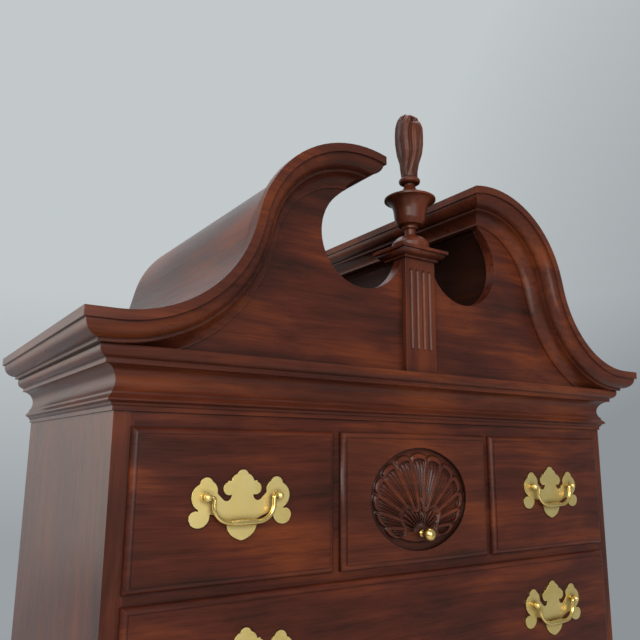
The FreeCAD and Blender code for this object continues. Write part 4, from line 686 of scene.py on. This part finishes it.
# %% Turn the knobs
KNOB = ((0.0054, 0.0), (0.0054, 0.0007), (0.0048, 0.0012), (0.0038, 0.0016), (0.0031, 0.0024),
        (0.0029, 0.0034), (0.0032, 0.0043), (0.0040, 0.0048), (0.0041, 0.0053), (0.0037, 0.0057))
BALL_RADIUS, BALL_STAND = 0.0100, 0.0152
polished = brass("brass_polished", ("#ecca7a", "#f3d68c"), 0.2, 0.8)
for row in ("top", "base"):
    name = row + "_shell_drawer_knob"
    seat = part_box(row + "_left_drawer_front")[0].y + GROUND_DEPTH - RISE
    middle = (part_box(name)[0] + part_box(name)[1]) / 2
    first = math.asin(KNOB[-1][0] / BALL_RADIUS)
    ball = [(BALL_RADIUS * math.sin(angle), BALL_STAND - BALL_RADIUS * math.cos(angle))
            for angle in [first + (math.pi - first) * step / 40 for step in range(41)]]
    turned = bmesh.new()
    line = [turned.verts.new((radius, -out, 0)) for radius, out in KNOB + tuple(ball[1:-1])]
    line.append(turned.verts.new((0, -BALL_STAND - BALL_RADIUS, 0)))
    line.insert(0, turned.verts.new((0, 0, 0)))
    rim = [turned.edges.new(pair) for pair in zip(line, line[1:])]
    bmesh.ops.spin(turned, geom=line + rim, cent=(0, 0, 0), axis=(0, 1, 0), dvec=(0, 0, 0),
                   angle=math.tau, steps=96, use_merge=True, use_duplicate=False)
    bmesh.ops.remove_doubles(turned, verts=turned.verts, dist=1e-6)
    bmesh.ops.recalc_face_normals(turned, faces=turned.faces)
    bmesh.ops.translate(turned, verts=turned.verts, vec=(middle.x, seat, middle.z))
    for face in turned.faces:
        face.smooth = True
    finished(name + "_turned", turned, row + "_shell_drawer", name, polished)
print("a knob stands out", round((BALL_STAND + BALL_RADIUS) * 1000, 1), "mm from its seat")

# %% [markdown]
# ## The flame of the finial
# The flame is turned to a long bud and then carved with seven ridges that climb in a slow S.
# Between them the carver leaves narrow valleys and finer lines, and the blunt top leans and has a
# small hollow where the tongues part. It is turned here as well: its outline is spun round the
# upright axis, and then each ring of points is twisted and its radius cut back in the valleys.

# %% Carve the flame
FLAME = ((0.00, 0.0135), (0.10, 0.0148), (0.22, 0.0168), (0.38, 0.0222), (0.52, 0.0243),
         (0.66, 0.0246), (0.78, 0.0240), (0.87, 0.0218), (0.93, 0.0186), (0.97, 0.0138),
         (0.99, 0.0085), (1.00, 0.0))
RIDGES, FLAME_TURN = 7, 62.0
SWAY = 19                             # degrees that the climb swings to and fro
VALLEY_CUT, FINE_CUT = 0.16, 0.045    # shares of the radius
HOLLOW_TURN, HOLLOW_SPAN = math.radians(-95), 0.42
HOLLOW_AT, HOLLOW_TALL, HOLLOW_CUT = 0.88, 0.05, 0.38
LOW_TURN, TIP_DROP = math.radians(-34), 0.0045


def flame_radius(share):
    """The turned bud's radius at a share of its height, on a line between two marks."""
    for (low, first), (high, last) in zip(FLAME, FLAME[1:]):
        if share <= high:
            return first + (last - first) * (share - low) / (high - low)
    return 0.0


low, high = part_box("finial_flame")
tall = high.z - low.z
bud = bmesh.new()
levels = [step / 120 for step in range(116)] + [0.972, 0.979, 0.985, 0.991, 0.996, 1.0]
line = [bud.verts.new((flame_radius(share), 0, share)) for share in levels]
rim = [bud.edges.new(pair) for pair in zip(line, line[1:])]
base = bud.verts.new((0, 0, 0))
rim.append(bud.edges.new((base, line[0])))
bmesh.ops.spin(bud, geom=line + [base] + rim, cent=(0, 0, 0), axis=(0, 0, 1), dvec=(0, 0, 0),
               angle=math.tau, steps=192, use_merge=True, use_duplicate=False)
bmesh.ops.remove_doubles(bud, verts=bud.verts, dist=1e-6)
for point in bud.verts:
    share = point.co.z
    radius = math.hypot(point.co.x, point.co.y)
    turn = math.atan2(point.co.y, point.co.x)
    climb = FLAME_TURN * smooth(0.0, 1.0, share) + SWAY * math.sin(math.tau * share)
    turned = turn + math.radians(climb)
    valley = 0.5 + 0.5 * math.cos(RIDGES * turn)
    fine = 0.5 + 0.5 * math.cos(3 * RIDGES * turn)
    open_share = smooth(0.01, 0.12, share) * (1 - smooth(0.94, 1.0, share))
    aside = (turned - HOLLOW_TURN + math.pi) % math.tau - math.pi
    hollow = math.exp(-(aside / HOLLOW_SPAN) ** 2)
    hollow *= math.exp(-((share - HOLLOW_AT) / HOLLOW_TALL) ** 2)
    cut = VALLEY_CUT * valley ** 3 + FINE_CUT * fine
    radius *= 1 - open_share * cut - HOLLOW_CUT * hollow
    drop = TIP_DROP * (0.5 + 0.5 * math.cos(turned - LOW_TURN)) * smooth(0.8, 1.0, share)
    drop *= min(radius / 0.008, 1.0) * 0.6 + 0.4
    point.co = (radius * math.cos(turned), radius * math.sin(turned), share * tall - drop)
bmesh.ops.translate(bud, verts=bud.verts, vec=((low.x + high.x) / 2, (low.y + high.y) / 2, low.z))
bmesh.ops.recalc_face_normals(bud, faces=bud.faces)
for face in bud.faces:
    face.smooth = True
# The flame's valleys get strong painted shade.
flame_wood = mahogany("mahogany_flame", "z", "#2e1712", "#4c2517", "#6c341d", gloss=0.4,
                      painted_shade=0.8)
flame = finished("finial_flame_carved", bud, "case", "finial_flame", flame_wood)
print("the flame has", len(flame.data.polygons), "faces")

# %% [markdown]
# ## The fluted plinth
# The four flutes are scraped with a round-nosed cutter and stop short of both ends of the block.
# The frame's block is right apart from their height, so a copy of it gets its flutes moved up in
# the flat of its front. Cutting them anew with a boolean would do the same and cost more faces.

# %% Move the flutes up
FLUTES_UP, FLUTE_REACH, FLUTE_DEPTH = 0.0095, 0.03, 0.004
FLUTES_FROM, FLUTES_TO = 0.015, 0.17  # heights over the foot of the block
block = merged_copy(nodes["plinth"])
foot_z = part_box("plinth")[0].z
face_y = min(point.co.y for point in block.verts if point.co.z < foot_z + FLAT)
flutes = [point for point in block.verts
          if abs(point.co.x) < FLUTE_REACH
          and face_y - FLAT < point.co.y < face_y + FLUTE_DEPTH
          and foot_z + FLUTES_FROM < point.co.z < foot_z + FLUTES_TO]
bmesh.ops.translate(block, verts=flutes, vec=(0, 0, FLUTES_UP))
finished("plinth_fluted", block, "case", "plinth", uprights)
print(len(flutes), "points of the flutes moved up", FLUTES_UP * 1000, "mm")

# %% [markdown]
# ## Softened brass plates
# The edges of the cast plates are filed and worn, so a fine line of light runs along them. The
# plate keeps the frame's shape, and a Bevel modifier rounds every sharp edge by a third of a
# millimetre. A Bevel node would shade the edge round too, but the outline would stay sharp.

# %% Plates
WORN_EDGE, SHARP = 0.00035, math.radians(35)
plates = brass("brass_cast_plates", ("#f5d988", "#fae29a"), 0.44, 1.5)
for name in [name for name in nodes if name.endswith("_pull")]:
    worn = merged_copy(nodes[name])
    bmesh.ops.dissolve_limit(worn, angle_limit=math.radians(1), verts=worn.verts,
                             edges=worn.edges)
    for face in worn.faces:
        face.smooth = abs(face.normal.y) < 0.9999
    body = name.removesuffix("_pull")
    plate = finished(name + "_worn", worn, body, name, plates)
    edge = plate.modifiers.new("worn_edge", "BEVEL")
    edge.width = WORN_EDGE
    edge.segments = 2
    edge.limit_method = "ANGLE"
    edge.angle_limit = SHARP
print("the plates' edges are worn by", round(WORN_EDGE * 1000, 2), "mm")

# %% [markdown]
# ## The bails
# A bail is cast as a rod that swells towards the middle of the grip, where fingers wear it smooth.
# Each copy of the frame's bail hangs a little shorter and is fuller in the middle: its points move
# towards the hinge line and, low down, out along their normals. Casting them anew from a curve
# would need the hinge pins again, and those are right already.

# %% Bails
ARM_RADIUS, SHORTER, FULLER = 0.0028, 0.88, 0.0006
SWELL_FROM, SWELL_TO = 0.5, 0.9       # shares of the drop where the grip gets full
for name in [name for name in nodes if "_bail" in name]:
    low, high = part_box(name)
    hinge_z = high.z - ARM_RADIUS
    grip = merged_copy(nodes[name])
    grip.normal_update()
    for point in grip.verts:
        hang = (hinge_z - point.co.z) / (hinge_z - low.z)
        point.co += point.normal * FULLER * smooth(SWELL_FROM, SWELL_TO, hang)
        point.co.z = hinge_z + (point.co.z - hinge_z) * SHORTER
    for face in grip.faces:
        face.smooth = True
    finished(name + "_swelled", grip, name, name, polished)
print("the bails hang", round((hinge_z - low.z) * SHORTER * 1000, 1), "mm below their pins")

# %% [markdown]
# ## Each piece gets its finish
# A frame piece keeps its mesh, and only its material slots are set. The grain follows how each
# board is cut: along rails and drawer fronts, up the sides and legs, back along the bonnet.

# %% Dress the frame's pieces
FINISH = {
    "upper_sides": uprights, "lower_sides": uprights, "legs": uprights, "plinth": uprights,
    "upper_frame": boards, "lower_frame": boards, "scroll_board": boards, "apron": boards,
    "cornice": mouldings, "waist_moulding": mouldings, "swan_necks": mouldings,
    "bonnet_roof": bonnet, "finial_urn": turnings, "finial_flame": turnings,
    "upper_runners": boxes, "lower_runners": boxes, "upper_back": panels, "lower_back": panels,
}


def finish_of(name):
    """The material of a frame piece, by what it is."""
    if name.endswith("_front"):
        return boards
    if name.endswith("_box"):
        return boxes
    if name.endswith("_pull"):
        return plates
    if "_bail" in name or name.endswith("_knob"):
        return polished
    return FINISH[name]


for name, piece in nodes.items():
    piece.data.materials.clear()
    piece.data.materials.append(finish_of(name))
print(len(nodes), "pieces dressed")
